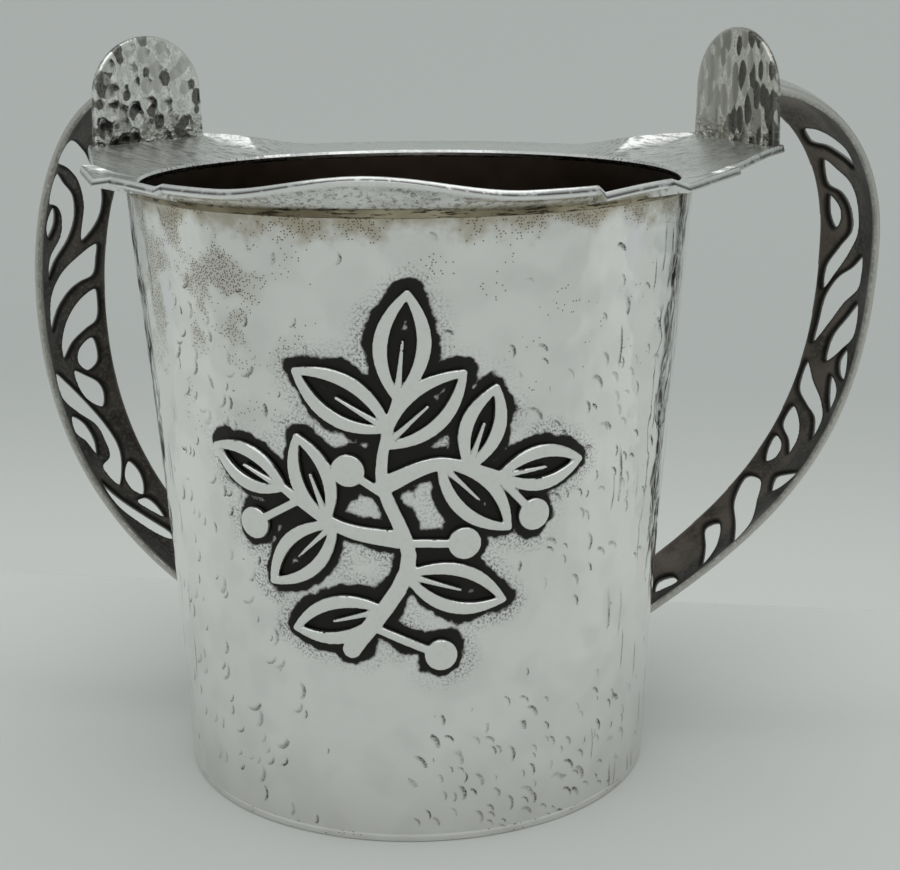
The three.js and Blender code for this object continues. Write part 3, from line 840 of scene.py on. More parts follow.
@dataclass(frozen=True)
class ReflectionStreak:
    """One long wavy painted reflection streak down the wall, at a distance beside the front along the sheet."""

    beside: float
    low: float
    high: float
    half_width: float

    STRETCH: ClassVar[Colour] = (1, 0.45, 1)
    SWAY: ClassVar[float] = 0.0085
    SWAY_WAVES: ClassVar[Waves] = Waves(210)
    SWELL_WAVES: ClassVar[Waves] = Waves(190)
    SWELL: ClassVar[Span] = (2.2, -0.45)
    SOFT: ClassVar[float] = 0.3
    ENDS: ClassVar[Span] = (0.42, 0.5)

    def draw(self, sheet: NodeSheet, place: Socket) -> Socket:
        """Draws it.

        Args:
            sheet: The material's nodes.
            place: Unrolled place.

        Returns:
            Its strength.
        """
        across, above, _ = sheet.parts(place)
        width, length = self.half_width, self.high - self.low
        slow = sheet.noise(sheet.stretched(place, self.STRETCH), self.SWAY_WAVES)
        sway = sheet.line(slow, self.SWAY, -self.SWAY / 2 - self.beside)
        gap = sheet.maths("ABSOLUTE", sheet.maths("ADD", across, sway))
        thick = sheet.line(sheet.noise(place, self.SWELL_WAVES), *(share * width for share in self.SWELL))
        line = sheet.ramp(sheet.maths("SUBTRACT", gap, thick), Run(-self.SOFT * width, self.SOFT * width, 1, 0))
        apart = sheet.maths("ABSOLUTE", sheet.maths("SUBTRACT", above, (self.low + self.high) / 2))
        return sheet.times(line, sheet.ramp(apart, Run(self.ENDS[0] * length, self.ENDS[1] * length, 1, 0)))


@dataclass(frozen=True)
class WallSilver:
    """The wall: bright and hammered, with painted shade strokes at the blows' rims, painted reflection streaks
    near the sides, painted shade towards the foot, a black ground round the sprig and a very dark, rougher
    inside.
    """

    inside: Colour = (0.026, 0.018, 0.013)
    inside_lighter: float = 1.9
    facet_shade: float = 0.92
    # Painted shade: the wall is darkened towards its foot, where it mirrors the shadow round the base.
    foot_painted_shade: Colour = (0.45, 0.44, 0.4)
    foot_run: Run = Run(0, 0.02, 0.3, 0)
    brown: Colour = (0.46, 0.42, 0.34)
    brown_share: float = 0.5
    golden: Colour = (0.42, 0.375, 0.27)
    golden_run: Run = Run(0.1055, 0.1105, 0, 0.8)
    golden_waves: Waves = Waves(240, 3, 0.6)
    golden_reach: float = 0.011
    dot_colour: Colour = (0.14, 0.115, 0.08)
    dots_to_a_metre: float = 2300
    dot_run: Run = Run(0.14, 0.38, 1, 0)
    stain_loss: float = -0.1
    # Painted shade and reflections: the colour of the dark strokes at the blows' rims and of the long streaks.
    shade_and_reflection_colour: Colour = (0.07, 0.064, 0.052)
    lean_run: Run = Run(-0.014, 0.006, -0.1, -1.2)
    # Painted shade: small dark crescents where the blows' rims mirror the dark.
    strokes: tuple[ShadeCrescents, ...] = (
        ShadeCrescents(275, 0.44, 0.13, 1.0, 0.62), ShadeCrescents(205, 0.36, 0.08, 1.3, 0.45),
        ShadeCrescents(380, 0.42, 0.12, 1.6, 0.2),
    )
    # Tall painted shade strokes near the sides.
    tall_stretch: Colour = (1.4, 0.42, 1)
    tall_shade_crescents: ShadeCrescents = ShadeCrescents(210, 0.46, 0.11, 0.35)
    tall_lean: float = -0.15
    # Painted reflections: long dark wavy streaks near the wall's sides.
    reflection_streaks: tuple[ReflectionStreak, ...] = (
        ReflectionStreak(0.0582, 0.036, 0.104, 0.0008), ReflectionStreak(0.0622, 0.03, 0.104, 0.0006),
        ReflectionStreak(0.0535, 0.04, 0.088, 0.0003), ReflectionStreak(-0.0515, 0.06, 0.094, 0.0004),
        ReflectionStreak(-0.0625, 0.03, 0.1, 0.0003),
    )
    ground_run: Run = Run(0.13, 0.19, 1, 0)
    hatch_run: Run = Run(0.15, 0.5, 1, 0)
    hatch_share: Span = (0.75, 0.15)
    facets_to_a_metre: float = 225
    roughness: Span = (0.1, 0.05)
    oxide_roughness: float = 0.35
    inside_roughness: float = 0.25
    oxide_metal_loss: float = 0.4
    bump_share: float = 0.3
    bump_depth: float = 0.00004

    def make(self) -> Material:
        """Makes the material.

        Returns:
            The material.
        """
        sheet = NodeSheet.named("wall_silver")
        place, inside = sheet.vector("unrolled"), sheet.value("inside")
        across, above, _ = sheet.parts(place)
        shade_and_reflection_strokes = self.shade_and_reflection_strokes(sheet, place, sheet.ramp(across, self.lean_run))
        oxide = self.oxide(sheet, place)
        colour = self.tarnish_and_foot_shade(sheet, place, above)
        # Painted shade and reflections: the dark strokes are mixed into the colour.
        shade_and_reflection_mask = sheet.times(shade_and_reflection_strokes, sheet.clouds(place, Waves(2600, 2, 0.6), Run(0.36, 0.56, 0.35, 1)),
                                 sheet.clouds(place, Waves(150), Run(0.36, 0.62, 0.3, 1)))
        colour = sheet.mix(shade_and_reflection_mask, colour, self.shade_and_reflection_colour)
        colour = sheet.mix(oxide, colour, OXIDE)
        dull = sheet.mix(sheet.noise(place, Waves(90, 4, 0.6)), self.inside,
                         shaded(self.inside, self.inside_lighter))
        colour = sheet.mix(inside, colour, dull)
        roughness = sheet.line(sheet.noise(place, Waves(800, 3, 0.6)), *self.roughness)
        roughness = sheet.line(oxide, self.oxide_roughness, roughness)
        roughness = sheet.line(inside, self.inside_roughness, roughness)
        metallic = sheet.line(oxide, -self.oxide_metal_loss, 1)
        height = sheet.maths("SUBTRACT", sheet.times(sheet.noise(place, Waves(420)), self.bump_share), shade_and_reflection_strokes)
        return sheet.finish(colour, roughness, metallic, sheet.bump(height, self.bump_depth))

    def shade_and_reflection_strokes(self, sheet: NodeSheet, place: Socket, lean: Socket) -> Socket:
        """Draws painted shade at the blows' rims and long painted reflection streaks.

        Args:
            sheet: The material's nodes.
            place: Unrolled place.
            lean: Direction in which the small strokes bulge.

        Returns:
            Their strength.
        """
        layers, marks = [], sheet.value("marks")
        for strokes in self.strokes:
            strength, chance = strokes.draw(sheet, place, lean)
            few = sheet.maths("LESS_THAN", chance, sheet.times(marks, strokes.share))
            layers.append(sheet.times(strength, few))
        tall = sheet.stretched(place, self.tall_stretch)
        strength, chance = self.tall_shade_crescents.draw(sheet, tall, self.tall_lean)
        layers.append(sheet.times(strength, sheet.maths("LESS_THAN", chance, sheet.value("tall_shade_strokes"))))
        return sheet.most(*layers, *(stroke.draw(sheet, place) for stroke in self.reflection_streaks))

    def oxide(self, sheet: NodeSheet, place: Socket) -> Socket:
        """Blackens the ground round the sprig, with a broken border.

        Args:
            sheet: The material's nodes.
            place: Unrolled place.

        Returns:
            The oxide's strength.
        """
        reach = sheet.wander(sheet.value("ground"), place, Waves(420, 4, 0.62), 0.2)
        reach = sheet.wander(reach, place, Waves(130), 0.36)
        smudge = sheet.line(sheet.clouds(place, Waves(75), Run(0.42, 0.62)), *self.hatch_share)
        dots = sheet.clouds(place, Waves(2300, 2, 0.6), Run(0.46, 0.62))
        hatch = sheet.times(sheet.ramp(reach, self.hatch_run), dots, smudge)
        return sheet.most(sheet.ramp(reach, self.ground_run), hatch)

    def tarnish_and_foot_shade(self, sheet: NodeSheet, place: Socket, above: Socket) -> Socket:
        """Clouds and stains the bright silver, and paints shade towards its foot.

        Args:
            sheet: The material's nodes.
            place: Unrolled place.
            above: Height on the wall.

        Returns:
            The colour.
        """
        stained = sheet.clouds(place, Waves(120), Run(0.46, 0.6, 0.12, 1))
        stains = sheet.line(sheet.value("speckle"), stained, self.stain_loss)
        tone = sheet.chances(sheet.cells(place, self.facets_to_a_metre, "SMOOTH_F1"))[0]
        cloud = sheet.line(sheet.noise(place, Waves(60, 3)), 0.5, sheet.times(tone, 0.5))
        colour = sheet.mix(sheet.ramp(cloud, Run(0.3, 0.75)), BRIGHT, shaded(BRIGHT, self.facet_shade))
        # Painted shade towards the foot of the wall.
        colour = sheet.mix(sheet.ramp(above, self.foot_run), colour, self.foot_painted_shade)
        colour = sheet.mix(sheet.maths("MULTIPLY", stains, self.brown_share, clamp=True), colour, self.brown)
        upper = sheet.line(sheet.noise(place, self.golden_waves), self.golden_reach, above)
        colour = sheet.mix(sheet.ramp(upper, self.golden_run), colour, self.golden)
        dot = sheet.cells(place, self.dots_to_a_metre)
        brown = sheet.times(sheet.ramp(dot.outputs["Distance"], self.dot_run),
                            sheet.maths("LESS_THAN", sheet.chances(dot)[1], stains))
        return sheet.mix(brown, colour, self.dot_colour)


@dataclass(frozen=True)
class FlangeSilver:
    """The flange: hammered, with a bright rubbed edge, painted level reflection streaks on the ears and pits
    underneath.
    """

    tarnish: Colour = (0.15, 0.14, 0.115)
    rim_shadow: Colour = (0.06, 0.056, 0.052)
    tarnish_share: Span = (0.2, 0.16)
    edge_run: Run = Run(0, 0.16)
    # Painted reflections: level streaks on the ears.
    ear_reflection_stretch: Colour = (0.3, 1.5, 1)
    ear_reflection_share: float = 0.7
    pit_share: float = 0.6
    roughness: Span = (0.14, 0.17)
    ear_roughness: float = 0.07
    bump_depth: float = 0.00008

    def make(self) -> Material:
        """Makes the material.

        Returns:
            The material.
        """
        sheet = NodeSheet.named("flange_silver")
        place, ear = sheet.place(), sheet.value("ear")
        amount = sheet.times(
            sheet.clouds(place, Waves(1500, 3, 0.65), Run(0.45, 0.66)),
            sheet.clouds(place, Waves(260), Run(0.3, 0.6)),
            sheet.line(ear, *self.tarnish_share), sheet.ramp(sheet.value("edge"), self.edge_run))
        # Painted reflections: level dark streaks on the ears, in the tarnish colour with the real tarnish and
        # pits.
        level = sheet.stretched(place, self.ear_reflection_stretch)
        ear_reflection_streaks = sheet.times(sheet.clouds(level, Waves(1050, 3, 0.7), Run(0.5, 0.62)), ear, self.ear_reflection_share)
        pits = sheet.times(sheet.clouds(place, Waves(1100, 3, 0.7), Run(0.5, 0.62)), sheet.value("under"),
                           self.pit_share)
        colour = sheet.mix(sheet.most(amount, ear_reflection_streaks, pits), BRIGHT, self.tarnish)
        line = sheet.times(sheet.value("rim"), sheet.clouds(place, Waves(480, 3, 0.6), Run(0.36, 0.5, 0.5, 1)))
        colour = sheet.mix(line, colour, self.rim_shadow)
        roughness = sheet.line(sheet.noise(place, Waves(700, 3, 0.6)), *self.roughness)
        roughness = sheet.line(ear, self.ear_roughness, roughness)
        return sheet.finish(colour, roughness, 1.0, sheet.bump(sheet.noise(place, Waves(520)), self.bump_depth))


@dataclass(frozen=True)
class TabSilver:
    """The tabs: strongly faceted, with painted dark reflections in some facets and painted mid-grey shade in the
    bowls; the ridges between them and the edge stay bright.
    """

    fine: Waves = Waves(1900, 3, 0.65)
    uneven: Waves = Waves(520, 3, 0.65)
    clean: Colour = (0.88, 0.88, 0.85)
    # Painted shade: the colour of a tab that is darker as a whole.
    shaded_tab: Colour = (0.66, 0.65, 0.6)
    tarnish: Colour = (0.2, 0.19, 0.155)
    foot_stain: Colour = (0.12, 0.105, 0.075)
    # Painted reflections: some facets are painted near black.
    painted_dark_reflection: Colour = (0.035, 0.032, 0.027)
    dark_reflection_share: float = 0.95
    rim_shadow: Colour = (0.12, 0.115, 0.1)
    bowl_wander: float = 0.6
    bowl_run: Run = Run(0.55, 0.78)
    dark_run: Run = Run(0.7, 0.78)
    bowl_shade_run: Run = Run(0.1, 0.7, 0.05, 0.45)
    tab_shade_share: float = 0.34
    low_wander: float = -0.006
    low_run: Run = Run(-0.002, 0.002, 1, 0)
    speck_share: Span = (0.5, 0.42)
    edge_run: Run = Run(0.1, 0.9)
    foot_stretch: Colour = (0.5, 0.5, 1.9)
    foot_wander: float = 0.008
    foot_run: Run = Run(0.003, 0.0095, 0.9, 0)
    roughness: Span = (0.16, 0.12)
    bump_depth: float = 0.00005

    def make(self) -> Material:
        """Makes the material.

        Returns:
            The material.
        """
        sheet = NodeSheet.named("tab_silver")
        place, chance, above_foot = sheet.place(), sheet.value("chance"), sheet.value("above_foot")
        dull, fine, uneven = sheet.value("dull"), sheet.noise(place, self.fine), sheet.noise(place, self.uneven)
        bowl = sheet.ramp(sheet.line(uneven, self.bowl_wander, sheet.value("hollow")), self.bowl_run)
        # Painted reflections and shade: dark facets and mid-grey bowls.
        dark = sheet.times(bowl, sheet.ramp(chance, self.dark_run), sheet.ramp(fine, Run(0.3, 0.6, 1, 0.72)))
        bowl_shade = sheet.times(bowl, sheet.line(dull, self.tab_shade_share, sheet.ramp(chance, self.bowl_shade_run)))
        low = sheet.ramp(sheet.line(uneven, self.low_wander, above_foot), self.low_run)
        speck = sheet.times(sheet.ramp(fine, Run(0.46, 0.66)), sheet.line(low, *self.speck_share))
        soft = sheet.times(sheet.most(bowl_shade, speck), sheet.ramp(sheet.value("edge"), self.edge_run))
        # The tarnish colour takes the painted bowl shade and real tarnish specks.
        colour = sheet.mix(soft, sheet.mix(dull, self.clean, self.shaded_tab), self.tarnish)
        level = sheet.stretched(place, self.foot_stretch)
        foot = sheet.times(sheet.ramp(sheet.line(uneven, self.foot_wander, above_foot), self.foot_run),
                           sheet.clouds(level, Waves(900, 3, 0.7), Run(0.44, 0.56)))
        colour = sheet.mix(foot, colour, self.foot_stain)
        colour = sheet.mix(sheet.times(dark, self.dark_reflection_share), colour, self.painted_dark_reflection)
        line = sheet.times(sheet.value("rim"), sheet.ramp(uneven, Run(0.35, 0.6, 0.25, 0.85)))
        colour = sheet.mix(line, colour, self.rim_shadow)
        bumps = sheet.bump(sheet.noise(place, Waves(900)), self.bump_depth)
        return sheet.finish(colour, sheet.line(fine, *self.roughness), 1.0, bumps)


@dataclass(frozen=True)
class HandleSilver:
    """The handles: far darker on the inner face, painted shade in and round the openings, rubbed bright along
    edges and outside.
    """

    darkest: Colour = (0.026, 0.023, 0.021)
    dark: Colour = (0.07, 0.064, 0.058)
    rubbed_dark: Colour = (0.17, 0.158, 0.142)
    rubbed_dark_share: float = 0.55
    stain: Colour = (0.145, 0.122, 0.103)
    outside: Colour = (0.7, 0.7, 0.68)
    outside_tarnish: Colour = (0.25, 0.23, 0.2)
    outside_share: float = 0.5
    rubbed: Colour = (0.5, 0.49, 0.455)
    # Painted shade: a near-black band in and round the openings.
    jamb_shade: Colour = (0.012, 0.011, 0.01)
    jamb_share: float = 0.95
    jamb_roughness: float = 0.3
    roughness: Span = (0.2, 0.28)
    metallic: Span = (0.15, 0.85)
    bump_depth: float = 0.00007

    def make(self) -> Material:
        """Makes the material.

        Returns:
            The material.
        """
        sheet = NodeSheet.named("handle_silver")
        place, outer, jamb_shade = sheet.place(), sheet.value("outer"), sheet.value("jamb_shade")
        fine, wide = sheet.noise(place, Waves(1300, 4, 0.65)), sheet.noise(place, Waves(140, 3, 0.55))
        inner_colour = sheet.mix(sheet.ramp(wide, Run(0.3, 0.7)), self.darkest, self.dark)
        inner_colour = sheet.mix(sheet.times(sheet.ramp(fine, Run(0.45, 0.68)), self.rubbed_dark_share),
                                 inner_colour, self.rubbed_dark)
        inner_colour = sheet.mix(sheet.times(sheet.value("stain"), sheet.ramp(wide, Run(0.35, 0.6, 0.3, 0.8))),
                                 inner_colour, self.stain)
        outer_colour = sheet.mix(sheet.times(sheet.ramp(fine, Run(0.5, 0.72)), self.outside_share),
                                 self.outside, self.outside_tarnish)
        colour = sheet.mix(outer, inner_colour, outer_colour)
        colour = sheet.mix(sheet.times(sheet.value("rim"), sheet.ramp(fine, Run(0.38, 0.56, 1, 0.6))),
                           colour, self.rubbed)
        # Painted shade in and round the openings.
        colour = sheet.mix(sheet.times(jamb_shade, self.jamb_share), colour, self.jamb_shade)
        roughness = sheet.line(jamb_shade, self.jamb_roughness, sheet.line(fine, *self.roughness))
        bumps = sheet.bump(sheet.noise(place, Waves(700, 3, 0.6)), self.bump_depth)
        return sheet.finish(colour, roughness, sheet.line(outer, *self.metallic), bumps)


@dataclass(frozen=True)
class SprigSilver:
    """The sprig: polished faces and dark sides."""

    polished: Colour = (0.86, 0.865, 0.85)
    tarnish: Colour = (0.5, 0.46, 0.4)
    tarnish_share: float = 0.16
    foot_run: Run = Run(0.25, 0.75)
    roughness: Span = (0.1, 0.14)
    bump_depth: float = 0.00006

    def make(self) -> Material:
        """Makes the material.

        Returns:
            The material.
        """
        sheet = NodeSheet.named("sprig_silver")
        place = sheet.place()
        fine = sheet.noise(place, Waves(1100, 3, 0.6))
        colour = sheet.mix(sheet.times(sheet.ramp(fine, Run(0.5, 0.75)), self.tarnish_share),
                           self.polished, self.tarnish)
        colour = sheet.mix(sheet.ramp(sheet.value("foot"), self.foot_run), colour, OXIDE)
        bumps = sheet.bump(sheet.noise(place, Waves(380)), self.bump_depth)
        return sheet.finish(colour, sheet.line(fine, *self.roughness), 1.0, bumps)


@dataclass(frozen=True)
class SolderSilver:
    """The solder line: yellowed, with dark pits drawn out along it."""

    yellow: Colour = (0.44, 0.4, 0.285)
    brown: Colour = (0.2, 0.17, 0.11)
    pit: Colour = (0.045, 0.038, 0.026)
    stretch: Colour = (0.25, 0.25, 2.2)
    roughness: float = 0.34
    bump_depth: float = 0.0001

    def make(self) -> Material:
        """Makes the material.

        Returns:
            The material.
        """
        sheet = NodeSheet.named("solder_silver")
        place = sheet.place()
        fine = sheet.noise(sheet.stretched(place, self.stretch), Waves(1100, 3, 0.7))
        colour = sheet.mix(sheet.clouds(place, Waves(110), Run(0.3, 0.6)), self.yellow, self.brown)
        colour = sheet.mix(sheet.ramp(fine, Run(0.52, 0.6)), colour, self.pit)
        return sheet.finish(colour, self.roughness, 1.0, sheet.bump(fine, self.bump_depth))


# Pieces of the cup


@dataclass
class Sprig:
    """The raised sprig on the front, and the distance to it, which the wall's black ground follows."""

    width: float = 0.056
    height: float = 0.056
    middle_height: float = 0.063
    turn: float = 2.5
    relief: float = 0.00125
    sunk: float = 0.0001
    stem_width: float = 0.0032
    vein_width: float = 0.0023
    leaf_length: float = 0.0165
    leaf_width: float = 0.0084
    berry_radius: float = 0.0027
    belly_share: float = 0.75
    stroke_end_share: float = 0.55
    vein_share: float = 0.55
    stalk_share: float = 0.32
    edge_round: float = 0.00035
    edge_start_share: float = 0.62
    branch_parts: int = 16
    leaf_parts: int = 12
    vein_parts: int = 2
    berry_run: float = 0.001
    mesh_step: float = 0.00016
    reach: float = 0.036
    wobble: tuple[float, float, float] = (900, 700, 0.00004)
    strokes: list[tuple[Array, Array, float, float]] = field(default_factory=list)

    BRANCHES: ClassVar[dict[str, tuple[Span, ...]]] = {
        "stem": ((-0.12, -0.5), (0.05, -0.24), (-0.02, 0.02), (0.03, 0.26)),
        "left": ((0.02, -0.16), (-0.14, -0.13), (-0.32, -0.02)),
        "right": ((-0.01, 0.0), (0.14, 0.06), (0.32, 0.01)),
    }
    # Branch, share along it, direction in degrees, and share of a leaf's full length
    LEAVES: ClassVar[tuple[tuple[str, float, float, float], ...]] = (
        ("stem", 0.97, 84, 1.0), ("stem", 0.84, 148, 1.0), ("stem", 0.78, 44, 1.0), ("stem", 0.3, -18, 1.0),
        ("stem", 0.18, 196, 0.95), ("left", 0.94, 158, 0.85), ("left", 0.6, 108, 0.85),
        ("left", 0.55, 224, 0.95), ("right", 0.94, 4, 0.85), ("right", 0.7, 72, 0.8),
        ("right", 0.5, -46, 0.95),
    )
    BERRIES: ClassVar[tuple[tuple[str, float, float, float], ...]] = (
        ("stem", 0.6, 146, 0.42), ("stem", 0.42, -2, 0.55), ("stem", 0.12, -24, 0.75),
        ("left", 0.8, 210, 0.6), ("right", 0.9, -48, 0.6),
    )

    def __post_init__(self) -> None:
        """Lays out the strokes."""
        for name in self.BRANCHES:
            self.add_stroke(lambda share, name=name: self.on_branch(name, share),
                            lambda share: self.stem_width / 2 * (1 - share * self.stroke_end_share),
                            self.branch_parts)
        for leaf in self.LEAVES:
            self.add_leaf(*leaf)
        for berry in self.BERRIES:
            self.add_berry(*berry)

    def on_branch(self, name: str, share: float) -> Array:
        """A place on a branch.

        Args:
            name: The branch.
            share: Share along it.

        Returns:
            The place across and up from the sprig's middle.
        """
        points = np.array(self.BRANCHES[name]) * (self.width, self.height)
        run = share * (len(points) - 1)
        first = min(int(run), len(points) - 2)
        weight = run - first
        p0, p1 = points[max(first - 1, 0)], points[first]
        p2, p3 = points[first + 1], points[min(first + 2, len(points) - 1)]
        v0, v1 = (p2 - p0) / 2, (p3 - p1) / 2
        return ((2 * p1 - 2 * p2 + v0 + v1) * weight ** 3 + (-3 * p1 + 3 * p2 - 2 * v0 - v1) * weight ** 2
                + v0 * weight + p1)

    def add_stroke(self, path: Callable[[float], Array], half_width: Callable[[float], float],
                   parts: int) -> None:
        """Adds a stroke as short wide lines.

        Args:
            path: Gives the place at a share along it.
            half_width: Gives the half width at a share along it.
            parts: Number of lines.
        """
        for part in range(parts):
            low, high = part / parts, (part + 1) / parts
            self.strokes.append((path(low), path(high), half_width(low), half_width(high)))

    def grow(self, branch: str, at: float, turn: float, size: float) -> tuple[Array, Array, Array]:
        """Root, direction and tip of what grows from a branch.

        Args:
            branch: The branch.
            at: Share along it.
            turn: Direction in degrees.
            size: Share of a leaf's full length.

        Returns:
            Root, direction and tip.
        """
        root = self.on_branch(branch, at)
        run = np.array([math.cos(math.radians(turn)), math.sin(math.radians(turn))])
        return root, run, root + run * self.leaf_length * size

    def add_leaf(self, branch: str, at: float, turn: float, size: float) -> None:
        """Adds a leaf: two bowed strokes and a vein.

        Args:
            branch: The branch.
            at: Share along it.
            turn: Direction in degrees.
            size: Share of full size.
        """
        root, run, tip = self.grow(branch, at, turn, size)
        aside = np.array([-run[1], run[0]])

        def swell(share: float) -> float:
            """Half width of a bowed stroke at a share along it."""
            ends = self.stroke_end_share
            return self.vein_width / 2 * (ends + (1 - ends) * math.sin(math.pi * share))

        for side in Side:
            bow = (root + tip) / 2 + aside * side.value * self.leaf_width * size * self.belly_share
            self.add_stroke(lambda s, bow=bow: (1 - s) ** 2 * root + 2 * s * (1 - s) * bow + s * s * tip,
                            swell, self.leaf_parts)
        end = root + (tip - root) * self.vein_share
        self.add_stroke(lambda s: root + (end - root) * s,
                        lambda s: self.vein_width / 2 * self.vein_share * (1 - s * self.vein_share),
                        self.vein_parts)

    def add_berry(self, branch: str, at: float, turn: float, size: float) -> None:
        """Adds a berry on its stalk.

        Args:
            branch: The branch.
            at: Share along it.
            turn: Direction in degrees.
            size: Stalk's share of a leaf's length.
        """
        root, _, tip = self.grow(branch, at, turn, size)
        stalk = self.vein_width * self.stalk_share
        self.strokes.append((root, tip, stalk, stalk))
        self.strokes.append((tip, tip + (root - tip) * self.berry_run, self.berry_radius, self.berry_radius))

    def gap(self, places: Array) -> Array:
        """Distances from places to the nearest stroke, negative inside the strokes."""
        return distance_to_lines(places, *zip(*self.strokes))

    def build(self, body: "CupBody") -> None:
        """Makes the sprig.

        Args:
            body: The body whose wall it follows.
        """
        plate = CutPlate.cut((-self.reach, -self.reach), (self.reach, self.reach), self.mesh_step, self.gap)
        full = rounded_edge(plate.depth, self.edge_round, self.edge_start_share)
        height = self.middle_height + plate.places[:, 1]
        turn = math.radians(self.turn) + plate.places[:, 0] / body.radius(self.middle_height)
        waves_across, waves_up, depth = self.wobble
        wobble = np.sin(plate.places[:, 0] * waves_across) * np.sin(plate.places[:, 1] * waves_up + 1) * depth
        top = around(turn, body.radius(height) + self.relief * full + wobble, height)
        foot = around(turn, body.radius(height) - self.sunk, height)
        sheet = plate.shell(foot, top, {"foot": (np.ones_like(height), np.zeros_like(height))})
        sheet.place("front_sprig", SprigSilver().make(), Slot.POLISHED, "front_ornament", 55)


@dataclass(frozen=True)
class CupBody:
    """The rolled wall, the base plate and the solder line under the flange."""

    mouth_radius: float = 0.0481
    foot_radius: float = 0.0421
    wall_height: float = 0.1047
    wall_hollow: float = 0.0005
    wall_thickness: float = 0.001
    seat_clearance: float = 0.0003
    places_round: int = 900
    places_up: int = 280
    places_up_inside: int = 70
    marks: HammerMarks = HammerMarks(0.0044, 0.000055, 7)
    fine_marks: HammerMarks = HammerMarks(0.0021, 0.000014, 7, 0.45, 11)
    calm_share: float = 0.35
    calm_foot_end: float = 0.006
    calm_top: Span = (0.1035, 0.1)
    inside_dents: float = 0.8
    unrolled_radius: float = 0.0455
    swell: float = 0.0009
    swell_turns: Span = (48, 78)
    swell_start: float = 0.02
    ground_reach: float = 0.01
    ground_margin: float = 0.008
    # How many blows get a painted shade stroke.
    fewest_shade_strokes: float = 0.07
    most_shade_strokes: float = 0.9
    back_shade_strokes: float = 0.3
    back_turn: float = 85
    patches: tuple[Patch, ...] = (
        Patch(0.8, 10, 66, -0.01, 0.022), Patch(0.42, 33, 68, 0.045, 0.085), Patch(0.5, -52, -20, 0.05, 0.098),
        Patch(0.4, -58, -18, 0.0, 0.05),
    )
    tall_shade_strokes: float = 0.42
    tall_turns: Span = (48, 58)
    tall_back: Span = (-115, -100)
    speckle_heights: Span = (0.062, 0.09)
    speckle_turns: Span = (8, 35)
    speckle_back: Span = (-130, -95)
    speckle_seam: Span = (0.0995, 0.1045)
    cloud_turns: Span = (18, 30)
    cloud_heights: Span = (0.078, 0.09)
    speckle_shares: tuple[float, ...] = (0.06, 0.45, 0.12, 0.55, 0.5)
    inside_shift: float = 0.1
    base_thickness: float = 0.0015
    base_proud: float = -0.00006
    base_round: float = 0.00035
    base_chamfer: float = 0.0001
    base_round_places: int = 6
    base_places: int = 360
    base_rings: tuple[float, ...] = (0.0405, 0.03, 0.02, 0.01, 0.0001)
    base_unrolled_radius: float = 0.0426
    base_speckle: float = 0.3
    seam_radius: float = 0.00055
    seam_places: int = 720
    seam_seed: int = 5
    seam_waves: tuple[int, ...] = (5, 9, 14, 23, 37, 61, 90, 140)
    seam_unevenness: float = 0.12
    seam_drop: float = 0.45
    seam_overlap: float = 0.0001
    seam_out: tuple[float, ...] = (-0.6, -0.05, 0.2, 0.4, 0.55, 0.6, 0.4, -0.6)
    seam_up: tuple[float, ...] = (0, 0, 0.12, 0.36, 0.66, 1, 1, 1)

    @property
    def lip_middle(self) -> float:
        """Radius of the hole in the flange."""
        return self.mouth_radius - self.wall_thickness

    @property
    def seat_height(self) -> float:
        """Height at which the flange's underside starts."""
        return self.wall_height + self.seat_clearance

    def radius(self, height: Array | float) -> Array | float:
        """Outside radius of the wall at a height."""
        share = height / self.wall_height
        return (self.foot_radius + (self.mouth_radius - self.foot_radius) * share
                - self.wall_hollow * 4 * share * (1 - share))

    def build(self, flange: "Flange", sprig: Sprig) -> None:
        """Makes the pieces of the body.

        Args:
            flange: The flange on top of it.
            sprig: The sprig that the black ground follows.
        """
        silver = WallSilver().make()
        self.build_wall(sprig, silver)
        self.build_base(silver)
        self.build_seam(flange)

    def build_wall(self, sprig: Sprig, silver: Material) -> None:
        """Makes the hammered wall.

        Args:
            sprig: The sprig that the black ground follows.
            silver: Its finish.
        """
        turn = np.linspace(-math.pi, math.pi, self.places_round, endpoint=False)
        rising = np.linspace(self.base_thickness, self.wall_height, self.places_up)
        falling = np.linspace(self.wall_height, self.base_thickness, self.places_up_inside)
        circumference = 2 * math.pi * self.mouth_radius
        turn_out, height_out = np.meshgrid(turn, rising, indexing="ij")
        turn_in, height_in = np.meshgrid(turn, falling, indexing="ij")
        degrees = np.degrees(turn_out)
        arc = (turn_out + math.pi) * self.mouth_radius
        broad = HammeredSheet(self.marks, circumference, self.wall_height)
        fine = HammeredSheet(self.fine_marks, circumference, self.wall_height)
        calm = smooth(height_out, self.base_thickness, self.calm_foot_end) * smooth(
            -height_out, -self.calm_top[0], -self.calm_top[1])
        dent = (broad.rise(arc, height_out) + fine.rise(arc, height_out)) * (
            self.calm_share + (1 - self.calm_share) * calm)
        radius_out = self.radius(height_out) + dent - self.marks.ridge
        radius_out += self.side_swell(degrees) * smooth(height_out, self.swell_start, self.wall_height)
        arc_in = (turn_in + math.pi) * self.mouth_radius
        radius_in = (self.radius(height_in) - self.wall_thickness
                     + broad.rise(arc_in, height_in) * self.inside_dents)

        def whole(outer: Array | float, inner: Array | float) -> Array:
            """Values of the outside and the inside side by side."""
            return np.concatenate([np.broadcast_to(outer, turn_out.shape),
                                   np.broadcast_to(inner, turn_in.shape)], 1)

